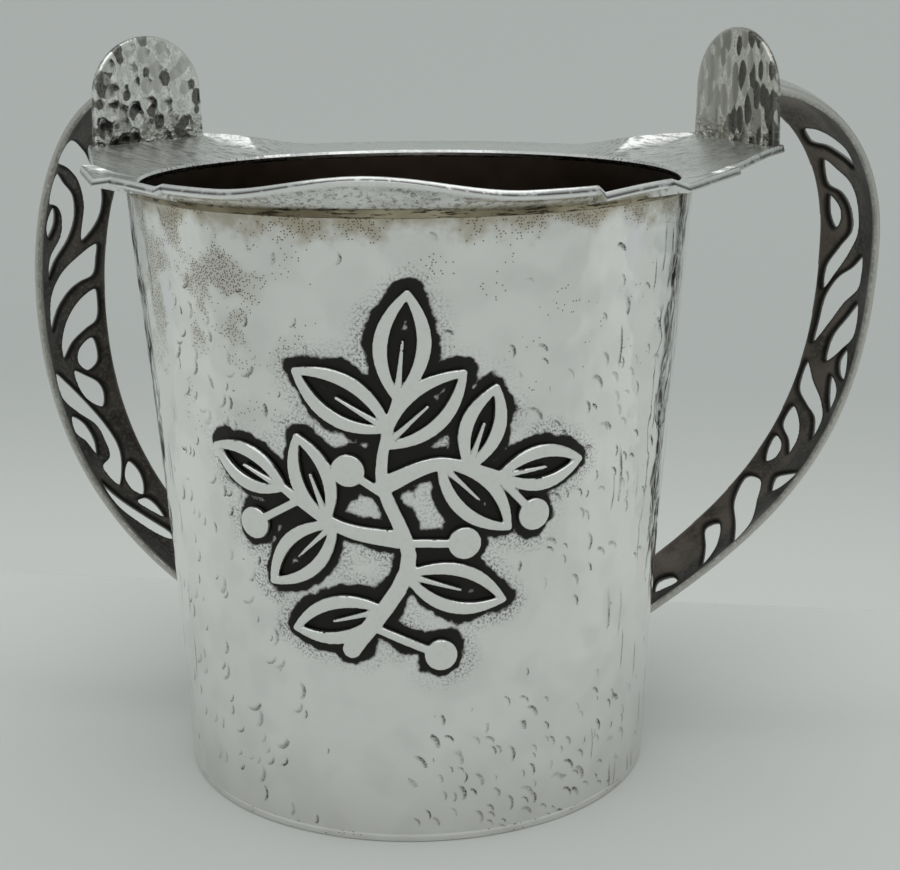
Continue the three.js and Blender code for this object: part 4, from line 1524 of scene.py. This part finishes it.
        inside, height = whole(0.0, 1.0), whole(height_out, height_in)
        sheet = Sheet.turned(turn, whole(radius_out, radius_in), height, {
            "inside": inside,
            "ground": whole(self.ground(sprig, turn_out, height_out), 1.0),
            # marks: how many blows get a painted shade stroke.
            "marks": whole(self.shade_stroke_density(degrees, height_out), 0.0),
            "speckle": whole(self.speckle_density(degrees, height_out), 0.0),
            "tall_shade_strokes": whole(self.tall_shade_density(np.abs(degrees)), 0.0),
        })
        unrolled = np.stack([whole(turn_out, turn_in) * self.unrolled_radius, height,
                             inside * self.inside_shift], -1)
        sheet.vectors["unrolled"] = unrolled.reshape(-1, 3)
        sheet.place("hammered_wall", silver, Slot.HAMMERED, "cup_wall", 60)

    def ground(self, sprig: Sprig, turn: Array, height: Array) -> Array:
        """How far places on the wall are from the sprig.

        Args:
            sprig: The sprig.
            turn: Turns in radians.
            height: Heights.

        Returns:
            Shares of the reach of the black ground, from 0 to 1.
        """
        across = (turn - math.radians(sprig.turn)) * self.radius(sprig.middle_height)
        places = np.stack([across, height - sprig.middle_height], -1).reshape(-1, 2)
        near = (np.abs(places) < sprig.reach + self.ground_margin).all(1)
        gap = np.full(len(places), self.ground_reach)
        gap[near] = sprig.gap(places[near])
        return np.clip(gap / self.ground_reach, 0, 1).reshape(turn.shape)

    def side_swell(self, turn: Array) -> Array:
        """How far the mouth is drawn out at the sides of the cup, for turns in degrees."""
        return self.swell * smooth(np.abs(turn), *self.swell_turns)

    def tall_shade_density(self, beside: Array) -> Array:
        """How many tall painted shade strokes there are, at turns in degrees to either side."""
        return self.tall_shade_strokes * smooth(beside, *self.tall_turns) * smooth(-beside, *self.tall_back)

    def shade_stroke_density(self, turn: Array, height: Array) -> Array:
        """Shares of the blows that get a painted shade stroke, dense low on the right."""
        layers = [self.back_shade_strokes * (np.abs(turn) > self.back_turn),
                  *(patch.share(turn, height) for patch in self.patches)]
        return np.clip(self.fewest_shade_strokes + np.maximum.reduce(layers), 0, self.most_shade_strokes)

    def speckle_density(self, turn: Array, height: Array) -> Array:
        """How much fine brown tarnish there is, most of it high on the left.

        Args:
            turn: Turns in degrees.
            height: Heights.

        Returns:
            Shares from 0 to 1.
        """
        high = smooth(height, *self.speckle_heights)
        left = smooth(-turn, *self.speckle_turns) * smooth(turn, *self.speckle_back)
        seam = smooth(height, *self.speckle_seam)
        cloud = left * smooth(-turn, *self.cloud_turns) * smooth(height, *self.cloud_heights)
        layers = zip(self.speckle_shares, (1, high * left, high, seam, cloud))
        return np.clip(sum(share * layer for share, layer in layers), 0, 1)

    def build_base(self, silver: Material) -> None:
        """Makes the base plate.

        Args:
            silver: Its finish.
        """
        outer = self.foot_radius + self.base_proud
        profile = [(outer - self.base_round * (1 - math.cos(a)), self.base_round * (1 + math.sin(a)))
                   for a in np.linspace(-math.pi / 2, 0, self.base_round_places)]
        profile += [(outer, self.base_thickness - self.base_chamfer),
                    (outer - self.base_chamfer, self.base_thickness)]
        profile += [(radius, self.base_thickness) for radius in self.base_rings]
        profile += [(radius, 0.0) for radius in reversed(self.base_rings)]
        radius, height = np.broadcast_to(np.array(profile).T[:, None], (2, self.base_places, len(profile)))
        turn = np.linspace(0, 2 * math.pi, self.base_places, endpoint=False)
        levels = {"inside": 0.0, "ground": 1.0, "marks": 0.0, "speckle": self.base_speckle, "tall_shade_strokes": 0.0}
        sheet = Sheet.turned(turn, radius, height,
                             {name: np.full(radius.shape, level) for name, level in levels.items()})
        x, y, z = sheet.points.T
        arc = np.arctan2(x, -y) * self.base_unrolled_radius
        sheet.vectors["unrolled"] = np.stack([arc, z, np.hypot(x, y)], -1)
        sheet.place("base_disc", silver, Slot.HAMMERED, "base_plate", 50)

    def build_seam(self, flange: "Flange") -> None:
        """Makes the fillet of solder, uneven as it was left by the flame.

        Args:
            flange: The flange whose underside it reaches.
        """
        turn = np.linspace(-math.pi, math.pi, self.seam_places, endpoint=False)
        chance = np.random.default_rng(self.seam_seed)
        waves = sum(chance.uniform(-1, 1) * np.sin(turn * k + chance.uniform(0, 6)) / math.sqrt(k)
                    for k in self.seam_waves)
        thick = self.seam_radius * (1 + self.seam_unevenness * waves)[:, None]
        degrees = np.degrees(turn)
        radius = self.mouth_radius + thick * np.array(self.seam_out) + self.side_swell(degrees)[:, None]
        rise = np.array([flange.rise(at) for at in degrees])[:, None]
        width = np.array([flange.reach(at) for at in degrees])[:, None] - self.lip_middle
        under = self.seat_height + rise * np.clip((radius - self.lip_middle) / width, 0, 1) ** flange.flare_share
        low = self.wall_height - thick * self.seam_drop
        height = low + (under + self.seam_overlap - low) * np.array(self.seam_up)
        Sheet.turned(turn, radius, height).place("solder_line", SolderSilver().make(), Slot.SOLDERED, "seam_wire")


@dataclass(frozen=True)
class Flange:
    """The sheet round the mouth with its pouring lip, petals and ears."""

    body: CupBody
    thickness: float = 0.0011
    lip_width: float = 0.0056
    lip_rise: float = 0.0026
    lip_crest_rise: float = 0.0057
    lip_crest_half_turn: float = 28
    side_rise: float = 0.0022
    back_width: float = 0.0074
    back_rise: float = 0.001
    back_rise_turn: float = 152
    ear_root_turn: float = 5
    handle_turn: float = 116
    left_ear_reach: float = 0.061
    right_ear_reach: float = 0.065
    ear_width: float = 0.0318
    ear_rise: float = 0.0038
    flare_share: float = 1.25
    notch_reach_share: float = 1.45
    step_turn: float = 0.3
    petals: tuple[Petal, ...] = (
        Petal(0, 41, 1, 0.86, 0),
        Petal(41, 57, 1.04, 1.2, 0.06, 0.0005, 0.0012),
        Petal(57, 81, 1.68, 1.8, 0.2, 0.0003, 0.0008),
    )
    drop_bend: float = 1.4
    edge_round: float = 0.0003
    edge_swell: float = 0.00016
    swell_from_edge: Span = (0.0017, 0.0006)
    most_trim: float = 0.3
    places_across: int = 18
    crowding: float = 1.3
    turn_between_places: float = 0.5
    edge_up: tuple[float, ...] = (-1, -0.8, -0.4, 0, 0.4, 0.8, 1)
    edge_in: tuple[float, ...] = (0.5, 0.12, 0.02, 0, 0.02, 0.12, 0.5)
    edge_tuck: float = 0.15
    rim_shadow: tuple[float, ...] = (0, 0.1, 1, 0.5, 0, 0, 0)
    marks: HammerMarks = HammerMarks(0.0028, 0.00005, 7, 0.45, 21)
    marks_height: float = 0.03
    marks_start: Span = (0.0008, 0.002)
    bright_edge: float = 0.004
    ear_turns: Span = (34, 16)

    def ear_reach(self, turn: float) -> float:
        """Reach of the ear on the side of a signed turn."""
        return self.left_ear_reach if turn < 0 else self.right_ear_reach

    def stops(self, signed: float) -> tuple[float, float, float, float]:
        """Turns at which an ear starts and ends, where its back meets the plain edge, and its corner's reach.

        Args:
            signed: A turn on the ear's side.

        Returns:
            The three turns and the reach.
        """
        reach = self.ear_reach(signed)
        half = math.degrees(math.atan(self.ear_width / 2 / reach))
        back = self.handle_turn + half
        return self.handle_turn - half, back, back + self.ear_root_turn, math.hypot(reach, self.ear_width / 2)

    @staticmethod
    def on_line(turn: float, start: float, start_reach: float, end: float, end_reach: float) -> float:
        """Reach at a turn on the straight line between two points, each given by its turn and reach."""
        to_end, to_start, whole = (math.sin(math.radians(gap)) for gap in (end - turn, turn - start, end - start))
        return start_reach * end_reach * whole / (start_reach * to_start + end_reach * to_end)

    def reach(self, signed: float) -> float:
        """Reach of the flange's edge.

        Args:
            signed: Signed turn.

        Returns:
            Distance from the axis.
        """
        turn, middle = abs(signed), self.body.lip_middle
        front, back, root, corner = self.stops(signed)
        for petal in self.petals:
            if turn <= petal.end:
                share = (turn - petal.start) / (petal.end - petal.start)
                reach = petal.start_reach + (petal.end_reach - petal.start_reach) * share
                return middle + self.lip_width * (reach - petal.dip * math.sin(math.pi * share))
        if turn <= front:
            notch_reach = middle + self.lip_width * self.notch_reach_share
            return self.on_line(turn, self.petals[-1].end, notch_reach, front, corner)
        if turn <= back:
            return self.ear_reach(signed) / math.cos(math.radians(turn - self.handle_turn))
        if turn <= root:
            return self.on_line(turn, back, corner, root, middle + self.back_width)
        return middle + self.back_width

    def rise(self, signed: float) -> float:
        """Rise of the flange's edge above its seat.

        Args:
            signed: Signed turn.

        Returns:
            The rise.
        """
        turn = abs(signed)
        front, back, _, _ = self.stops(signed)
        at = np.array([0, self.petals[1].start, self.petals[-1].end, front, back, self.back_rise_turn, 180])
        rises = (self.lip_rise, self.lip_rise, self.side_rise, self.ear_rise, self.ear_rise,
                 self.back_rise, self.back_rise)
        after = min(max(1, int(np.searchsorted(at, turn))), len(at) - 1)
        share = float(smooth(np.array(turn), at[after - 1], at[after]))
        from_crest = min(1, turn / self.lip_crest_half_turn)
        crest = (self.lip_crest_rise - self.lip_rise) * (1 + math.cos(math.pi * from_crest)) / 2
        rise = rises[after - 1] + (rises[after] - rises[after - 1]) * share + crest
        for petal in self.petals:
            if petal.start < turn <= petal.end:
                left = (petal.end - turn) / (petal.end - petal.start)
                rise -= (petal.left_drop if signed < 0 else petal.right_drop) * left ** self.drop_bend
        return rise

    def turns(self, side: Side) -> list[float]:
        """Turns at which one half of the flange is drawn.

        Args:
            side: The half.

        Returns:
            Turns from 0 up to, and without, 180.
        """
        stops = [0.0]
        for petal in self.petals:
            stops += [petal.end, petal.end + self.step_turn]
        stops += [*self.stops(side.value)[:3], 180.0]
        turns = []
        for low, high in zip(stops, stops[1:]):
            parts = math.ceil((high - low) / self.turn_between_places)
            turns += [low + (high - low) * part / parts for part in range(parts)]
        return turns

    def build(self) -> None:
        """Makes the flange."""
        turns = [-turn for turn in self.turns(Side.LEFT)[:0:-1]] + self.turns(Side.RIGHT) + [180.0]
        reach = np.array([self.reach(turn) for turn in turns])[:, None]
        rise = np.array([self.rise(turn) for turn in turns])[:, None]
        turn = np.radians(turns)
        middle, half = self.body.lip_middle, self.thickness / 2
        width = reach - middle
        shares = 1 - (1 - np.linspace(0, 1, self.places_across)) ** self.crowding
        lean = np.arctan(rise * self.flare_share * shares ** (self.flare_share - 1) / width)
        trim = np.minimum(half, width * self.most_trim)
        along = shares * (width - trim)

        def layer(offset: Array | float) -> tuple[Array, Array]:
            """Radii and heights at a distance above the sheet's underside."""
            height = self.body.seat_height + rise * (along / width) ** self.flare_share + offset * np.cos(lean)
            return middle + along - offset * np.sin(lean), height

        blows = HammeredSheet(self.marks, 2 * math.pi * self.body.mouth_radius, self.marks_height)
        arc = np.broadcast_to((turn[:, None] + math.pi) * self.body.mouth_radius, along.shape)
        dent = blows.rise(arc, along) * smooth(along, *self.marks_start)
        swell = self.edge_swell * smooth(along - width, -self.swell_from_edge[0], -self.swell_from_edge[1])
        low_radius, low_height = layer(-swell)
        high_radius, high_height = layer(self.thickness + dent - self.marks.ridge + swell)
        middle_radius, middle_height = layer(half)
        up = np.array(self.edge_up) * (half + self.edge_swell - self.edge_round * self.edge_tuck)
        out = trim - self.edge_round * np.array(self.edge_in)
        last = lean[:, -1:]
        edge_radius = middle_radius[:, -1:] + out * np.cos(last) - up * np.sin(last)
        edge_height = middle_height[:, -1:] + out * np.sin(last) + up * np.cos(last)
        inner_radius = middle_radius[:, :1] - half / 2
        radius = np.concatenate([low_radius, edge_radius, high_radius[:, ::-1], inner_radius], 1)
        height = np.concatenate([low_height, edge_height, high_height[:, ::-1], middle_height[:, :1]], 1)
        beside = np.abs(np.abs(np.degrees(turn)) - self.handle_turn)[:, None]
        ear = smooth(-beside, -self.ear_turns[0], -self.ear_turns[1])
        rim, under = np.zeros_like(radius), np.zeros_like(radius)
        rim[:, self.places_across:self.places_across + len(self.rim_shadow)] = self.rim_shadow
        under[:, :self.places_across - 2] = 1
        sheet = Sheet.turned(turn, radius, height, {
            "edge": np.clip((reach - radius) / self.bright_edge, 0, 1),
            "ear": np.broadcast_to(ear, radius.shape), "rim": rim, "under": under,
        })
        sheet.place("mouth_flange", FlangeSilver().make(), Slot.HAMMERED, "rim_flange", 50)


@dataclass(frozen=True)
class SideParts:
    """The tab and the handle of one side."""

    side: Side
    flange: Flange
    tab: TabSizes = TabSizes()
    handle: HandleSizes = HandleSizes()

    @property
    def sizes(self) -> SideSizes:
        """What is this side's own."""
        return SIDES[self.side]

    @property
    def name(self) -> str:
        """The side's name in the names of its pieces."""
        return self.side.name.lower()

    @property
    def tab_outer(self) -> float:
        """Distance from the axis to the tab's outer face."""
        return self.flange.ear_reach(self.side.value) - self.tab.margin

    @property
    def tab_foot_height(self) -> float:
        """Height of the ear's top under the tab."""
        return self.flange.body.seat_height + self.flange.ear_rise + self.flange.thickness

    def stand(self, out: Array, across: Array, height: Array) -> Array:
        """Points of the side in the cup's frame.

        Args:
            out: Distances from the axis along the side's direction.
            across: Distances across it.
            height: Heights.

        Returns:
            Points in the cup's frame.
        """
        turn = math.radians(self.side.value * self.flange.handle_turn - 90)
        cos, sin = math.cos(turn), math.sin(turn)
        return np.stack([out * cos - across * sin, out * sin + across * cos, height], -1)

    def ear_top(self, across: Array) -> Array:
        """Height of the ear's top along the tab's foot.

        Args:
            across: Places across the ear.

        Returns:
            Heights.
        """
        heights, flange = [], self.flange
        out = self.tab_outer - self.tab.thickness / 2
        middle = flange.body.lip_middle
        for place in across:
            turn = flange.handle_turn + math.degrees(math.atan2(self.side.value * place, out))
            signed = self.side.value * turn
            share = min(1, (math.hypot(out, place) - middle) / (flange.reach(signed) - middle))
            heights.append(flange.body.seat_height + flange.rise(signed) * share ** flange.flare_share
                           + flange.thickness)
        return np.array(heights)

    def build_tab(self, silver: Material) -> None:
        """Makes the thumb tab.

        Args:
            silver: The tabs' finish.
        """
        tab, sizes, foot_height = self.tab, self.sizes, self.tab_foot_height
        bottom, grown = self.flange.body.wall_height, tab.width / 2
        angle = np.linspace(0, math.pi, tab.arch_places)
        arch = np.stack([grown * tab.taper_share * np.cos(angle), foot_height + tab.straight_height
                         + (sizes.tab_height - tab.straight_height) * np.sin(angle)], -1)
        outline = np.concatenate([[[grown, bottom]], arch, [[-grown, bottom]]])
        spots = np.linspace(-grown - tab.spare, grown + tab.spare, tab.foot_places)
        tops = self.ear_top(spots) - tab.sunk

        def outside(places: Array) -> Array:
            """Signed distance to the arch and the ear's top."""
            return np.maximum(depth_outside(places, outline), np.interp(places[:, 0], spots, tops) - places[:, 1])

        high = (grown + tab.spare, foot_height + sizes.tab_height + tab.spare)
        plate = CutPlate.cut((-grown - tab.spare, bottom), high, tab.mesh_step, outside)
        across, height = plate.places.T
        border = depth_outside(plate.places, outline)
        full = rounded_edge(border, tab.edge_round, tab.edge_start_share)
        away = smooth(-border, 0.0, tab.plain_border)
        blows = HammeredSheet(tab.marks, tab.width * 2, tab.marks_height)
        u, v = (across + tab.width) * sizes.bowl_stretch[0], (height - bottom) * sizes.bowl_stretch[1]
        half, ridge = tab.thickness / 2, tab.marks.ridge
        faces, hollows, chances = [], [], []
        for sign, shift in ((-1, (0, 0)), (1, tab.outer_shift)):
            dent = blows.rise(u + shift[0], v + shift[1])
            out = self.tab_outer - half + sign * (half * full + (dent - ridge) * away)
            faces.append(self.stand(out, across, height))
            hollows.append(1 - dent / ridge + sizes.bowl_growth)
            chances.append(blows.blow_chance(u + shift[0], v + shift[1]))
        beside = across / tab.width * 2
        low = smooth(-height, -foot_height - tab.foot_reach, -foot_height)
        # The chances lean the painted dark reflections across the tab, to its side and to its foot.
        chances[0] = chances[0] + (sizes.dark_lean * beside + sizes.dark_foot * low
                                   + sizes.dark_side * smooth(beside, tab.side_start, 1))
        edge = np.clip(-border / tab.worn_border, 0, 1)
        rim = np.clip(1 + border / tab.dark_border, 0, 1)
        # Painted shade: the right tab is darkened as a whole.
        above, dull = height - foot_height, np.full(len(height), float(sizes.tab_shade))
        sheet = plate.shell(*faces, {
            "edge": (edge, edge), "rim": (rim * tab.inner_border_share, rim), "above_foot": (above, above),
            "dull": (dull, dull), "hollow": tuple(hollows), "chance": tuple(chances),
        })
        sheet.place(f"{self.name}_tab", silver, Slot.HAMMERED, f"thumb_tab_{self.name}", 50)

    def strap_path(self) -> tuple[Array, Array, float]:
        """The middle line of the strap's inner face at even steps along it.

        Returns:
            Points and directions in the side's upright plane, and the path's length.
        """
        body, handle, curve = self.flange.body, self.handle, self.sizes.strap
        start = self.tab_outer + body.seat_clearance - handle.overrun
        top_height = self.tab_foot_height + handle.rise_on_tab
        foot = body.radius(handle.foot_height) - handle.sunk_in_wall
        reach_height = top_height - curve.reach_drop
        to_foot = reach_height - handle.foot_height
        top = np.array([
            (start, top_height),
            (start + (curve.reach - start) * curve.top_out, top_height - curve.reach_drop * curve.top_drop),
            (curve.reach, reach_height + curve.reach_drop * curve.top_up),
            (curve.reach, reach_height),
        ])
        low = np.array([
            (curve.reach, reach_height),
            (curve.reach, reach_height - to_foot * curve.foot_down),
            (foot + (curve.reach - foot) * curve.foot_out, handle.foot_height + to_foot * curve.foot_up),
            (foot, handle.foot_height),
        ])
        share = np.linspace(0, 1, handle.curve_places)[:, None]
        weights = ((1 - share) ** 3, 3 * share * (1 - share) ** 2, 3 * share ** 2 * (1 - share), share ** 3)
        top_line, low_line = (sum(weight * pull for weight, pull in zip(weights, pulls)) for pulls in (top, low))
        line = np.concatenate([top_line, low_line[1:]])
        run = np.concatenate([[0], np.cumsum(np.hypot(*np.diff(line, axis=0).T))])
        even = np.linspace(0, run[-1], handle.path_places)
        points = np.stack([np.interp(even, run, line[:, 0]), np.interp(even, run, line[:, 1])], -1)
        heading = np.gradient(points, axis=0)
        heading /= np.linalg.norm(heading, axis=1)[:, None]
        return points, heading, float(run[-1])

    def opening_outline(self, opening: Opening, length: float) -> Array:
        """A smooth closed outline through the places of an opening.

        Args:
            opening: Shares along the strap and of its half width.
            length: Length of the strap.

        Returns:
            Points in the unrolled strap.
        """
        along, across = np.array(opening)
        places = np.stack([along * length, across * self.handle.half_width(along)], -1)
        outline = []
        for i in range(len(places)):
            p = [places[(i + k) % len(places)] for k in (-1, 0, 1, 2)]
            before, here, after = (max(float(np.linalg.norm(p[k + 1] - p[k])) ** 0.5, 1e-9) for k in range(3))
            run = p[2] - p[1]
            leave = ((p[1] - p[0]) / before - (p[2] - p[0]) / (before + here) + run / here) * here
            arrive = (run / here - (p[3] - p[1]) / (here + after) + (p[3] - p[2]) / after) * here
            for part in range(self.handle.outline_parts):
                s = part / self.handle.outline_parts
                outline.append(p[1] + leave * s + (3 * run - 2 * leave - arrive) * s ** 2
                               + (leave + arrive - 2 * run) * s ** 3)
        return np.array(outline)

    def build_handle(self, silver: Material) -> None:
        """Makes the pierced handle.

        Args:
            silver: The handles' finish.
        """
        handle, body = self.handle, self.flange.body
        points, heading, length = self.strap_path()
        even = np.linspace(0, 1, len(points))
        outlines = [self.opening_outline(opening, length) for opening in self.sizes.openings]
        half = handle.thickness / 2

        def middle_at(along: Array, lift: Array) -> tuple[Array, Array]:
            """Places above and beside the strap's middle line.

            Args:
                along: Lengths along the strap.
                lift: Lifts off the line.

            Returns:
                Distances from the axis and heights.
            """
            share = np.clip(along / length, 0, 1)
            x, z, dx, dz = (np.interp(share, even, column) for column in (*points.T, *heading.T))
            return x - dz * lift, z + dx * lift

        def dome(places: Array) -> Array:
            """Lift of the domed strap."""
            return handle.dome * (1 - (places[:, 1] / handle.half_width(places[:, 0] / length)) ** 2)

        def borders(places: Array) -> Array:
            """Signed distance to the strap's long edges."""
            return np.abs(places[:, 1]) - handle.half_width(np.clip(places[:, 0] / length, 0, 1))

        def holes(places: Array) -> Array:
            """Signed distance to the openings.

            Args:
                places: Points of the unrolled strap.

            Returns:
                Distances, positive inside an opening.
            """
            depth = np.full(len(places), -1.0)
            for outline in outlines:
                low, high = outline.min(0) - handle.hole_reach, outline.max(0) + handle.hole_reach
                near = np.flatnonzero(((places > low) & (places < high)).all(1))
                if len(near):
                    depth[near] = np.maximum(depth[near], -depth_outside(places[near], outline))
            return depth

        def ends(places: Array) -> Array:
            """Signed distance to the tab's face above and the wall below.

            Args:
                places: Points of the unrolled strap.

            Returns:
                Distances, positive past them.
            """
            x, z = middle_at(places[:, 0], dome(places) + half)
            to_wall = body.radius(z) - handle.joint_depth - np.hypot(x, places[:, 1])
            return np.where(places[:, 0] < length / 2, self.tab_outer - handle.joint_depth - x, to_wall)

        def outside(places: Array) -> Array:
            """Signed distance to the whole outline."""
            return np.maximum.reduce([borders(places), holes(places), ends(places)])

        half_wide = handle.width / 2 + handle.spare
        plate = CutPlate.cut((0, -half_wide), (length, half_wide), handle.mesh_step, outside)
        along, across = plate.places.T
        hole_depth, border_depth = holes(plate.places), borders(plate.places)
        full = rounded_edge(np.maximum(hole_depth, border_depth), handle.edge_round, handle.edge_start_share)
        faces = []
        for sign in (-1, 1):
            x, z = middle_at(along, dome(plate.places) + half + sign * half * full)
            faces.append(self.stand(x, across, z))
        front = smooth(-self.side.value * across, -handle.front_blend, handle.front_blend)
        front_rim = np.clip((handle.front_rim + border_depth) / handle.rim_blend, 0, 1)
        back_rim = handle.back_rim_share * np.clip(1 + border_depth / handle.rim_blend, 0, 1)
        rim = front * front_rim + (1 - front) * back_rim
        # Painted shade in and round the openings.
        jamb_shade = np.clip(1 + hole_depth / handle.jamb_reach, 0, 1)
        stain = (1 - front) * self.sizes.stain
        sheet = plate.shell(*faces, {
            "outer": (np.zeros_like(along), np.ones_like(along)), "rim": (rim, rim),
            "jamb_shade": (jamb_shade, jamb_shade * handle.outer_jamb_share), "stain": (stain, stain),
        })
        sheet.place(f"{self.name}_handle", silver, Slot.OXIDISED, f"handle_{self.name}", 50)


# Camera, floor and light


@dataclass(frozen=True)
class View:
    """Where the photograph was taken from."""

    turn: float = 7.5
    distance: float = 0.2985
    height: float = 0.1368
    aim_turn: float = 1.25
    pitch: float = 14.62
    roll: float = -0.48
    lens: float = 68
    sensor: float = 36
    nearest: float = 0.01

    def place_camera(self) -> None:
        """Places the camera."""
        lens = bpy.data.cameras.new("camera")
        lens.lens = self.lens
        lens.sensor_width = self.sensor
        lens.sensor_fit = "HORIZONTAL"
        lens.clip_start = self.nearest
        camera = bpy.data.objects.new("camera", lens)
        bpy.context.scene.collection.objects.link(camera)
        pitch, roll, aim = (math.radians(angle) for angle in (self.pitch, self.roll, self.aim_turn))
        forward = Vector((math.sin(aim) * math.cos(pitch), math.cos(aim) * math.cos(pitch), -math.sin(pitch)))
        right = Vector((math.cos(aim), -math.sin(aim), 0))
        down = forward.cross(right)
        rolled_right = right * math.cos(roll) - down * math.sin(roll)
        rolled_down = right * math.sin(roll) + down * math.cos(roll)
        spin = Matrix.Rotation(math.radians(self.turn), 3, "Z")
        axes = Matrix((spin @ rolled_right, spin @ -rolled_down, spin @ -forward)).transposed()
        place = spin @ Vector((0, -self.distance, self.height))
        camera.matrix_world = Matrix.Translation(place) @ axes.to_4x4()
        bpy.context.scene.camera = camera


@dataclass(frozen=True)
class Studio:
    """Table, backdrop and light, turned to face the camera."""

    view_turn: float
    table_turn: float = -10
    # Painted light and shade: the table is darker at the front and lighter towards the back.
    floor_shaded_front: Colour = (0.48, 0.498, 0.482)
    floor_lit_back: Colour = (0.595, 0.61, 0.59)
    floor_waves: Waves = Waves(14)
    floor_wander: float = 0.04
    floor_run: Run = Run(-0.11, 0.05)
    # Painted light and shade: the backdrop is lighter low down and darker higher up.
    backdrop_lit_low: Colour = (0.56, 0.585, 0.565)
    backdrop_shaded_high: Colour = (0.42, 0.445, 0.435)
    backdrop_run: Run = Run(-0.353, -0.146)
    roughness: float = 0.9
    half_width: float = 2.4
    table_front: float = -1.2
    table_middle: float = -0.2
    table_depth: float = 0.083
    table_round: float = 0.004
    table_round_places: int = 8
    table_thickness: float = 0.02
    backdrop_distance: float = 1.05
    backdrop_foot: float = -1.2
    backdrop_top: float = 1.8
    world: Colour = (0.9, 0.91, 0.9)
    seen_world: Colour = (0.5, 0.525, 0.52)
    lamp_power: float = 2.2
    lamp_size: float = 1.0
    lamp_place: tuple[float, float, float] = (0.08, -0.05, 0.9)

    def turned(self, profile: Sequence[Span]) -> Array:
        """Points of a profile at both sides of the studio.

        Args:
            profile: Depth and height of each of its points.

        Returns:
            The points on the left, then those on the right.
        """
        turn = math.radians(self.view_turn + self.table_turn)
        cos, sin = math.cos(turn), math.sin(turn)
        return np.array([(x * cos - y * sin, x * sin + y * cos, z)
                         for x in (-self.half_width, self.half_width) for y, z in profile])

    def build(self) -> None:
        """Makes the table, the backdrop and the light."""
        sheet = NodeSheet.named("pale_table")
        depth = sheet.parts(sheet.place())[1]
        cloudy = sheet.line(sheet.noise(sheet.place(), self.floor_waves), self.floor_wander, depth)
        # Painted light and shade across the table's depth.
        colour = sheet.mix(sheet.ramp(cloudy, self.floor_run), self.floor_shaded_front, self.floor_lit_back)
        round_, edge = self.table_round, self.table_depth - self.table_round
        profile = [(self.table_front, -self.table_thickness), (self.table_front, 0.0), (self.table_middle, 0.0)]
        profile += [(edge + round_ * math.cos(a), round_ * (math.sin(a) - 1))
                    for a in np.linspace(math.pi / 2, 0, self.table_round_places)]
        profile += [(self.table_depth, -self.table_thickness)]
        count = len(profile)
        quads = np.array([[i + count, (i + 1) % count + count, (i + 1) % count, i] for i in range(count)])
        table = Sheet(self.turned(profile), quads).make("table", sheet.finish(colour, self.roughness, 0.0), 60)
        table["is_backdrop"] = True

        sheet = NodeSheet.named("pale_backdrop")
        height = sheet.parts(sheet.place())[2]
        # Painted light and shade up the backdrop.
        colour = sheet.mix(sheet.ramp(height, self.backdrop_run), self.backdrop_lit_low, self.backdrop_shaded_high)
        away = self.backdrop_distance
        corners = self.turned([(away, self.backdrop_foot), (away, self.backdrop_top)])
        backdrop = Sheet(corners, np.array([[0, 2, 3, 1]])).make(
            "backdrop", sheet.finish(colour, self.roughness, 0.0))
        backdrop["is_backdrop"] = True
        self.light()

    def light(self) -> None:
        """Makes the even light all round, which is darker where it is seen or mirrored, and the lamp above."""
        world = bpy.data.worlds.new("soft_light")
        bpy.context.scene.world = world
        sheet = NodeSheet(world)
        path = sheet.node("ShaderNodeLightPath").outputs
        seen = sheet.most(path["Is Camera Ray"], path["Is Glossy Ray"])
        light = sheet.node("ShaderNodeBackground", {
            "Color": sheet.mix(seen, self.world, self.seen_world), "Strength": 1.0})
        sheet.node("ShaderNodeOutputWorld", {0: light.outputs[0]})
        lamp = bpy.data.lights.new("overhead", "AREA")
        lamp.shape = "RECTANGLE"
        lamp.size = lamp.size_y = self.lamp_size
        lamp.energy = self.lamp_power
        overhead = bpy.data.objects.new("overhead", lamp)
        overhead.location = self.lamp_place
        bpy.context.scene.collection.objects.link(overhead)
        bpy.context.scene.view_settings.view_transform = "Standard"


def main() -> None:
    """Dresses the cup."""
    logging.basicConfig(level=logging.INFO, format="%(name)s: %(message)s")
    cad_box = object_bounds()
    view = View()
    view.place_camera()
    sprig, body = Sprig(), CupBody()
    flange = Flange(body)
    body.build(flange, sprig)
    sprig.build(body)
    flange.build()
    tab_silver, handle_silver = TabSilver().make(), HandleSilver().make()
    for side in Side:
        parts = SideParts(side, flange)
        parts.build_tab(tab_silver)
        parts.build_handle(handle_silver)
    Studio(view.turn).build()
    boxes = {"cad": cad_box, "visual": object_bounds()}
    plain = {name: [list(map(float, corner)) for corner in box] for name, box in boxes.items()}


if __name__ == "__main__":
    main()
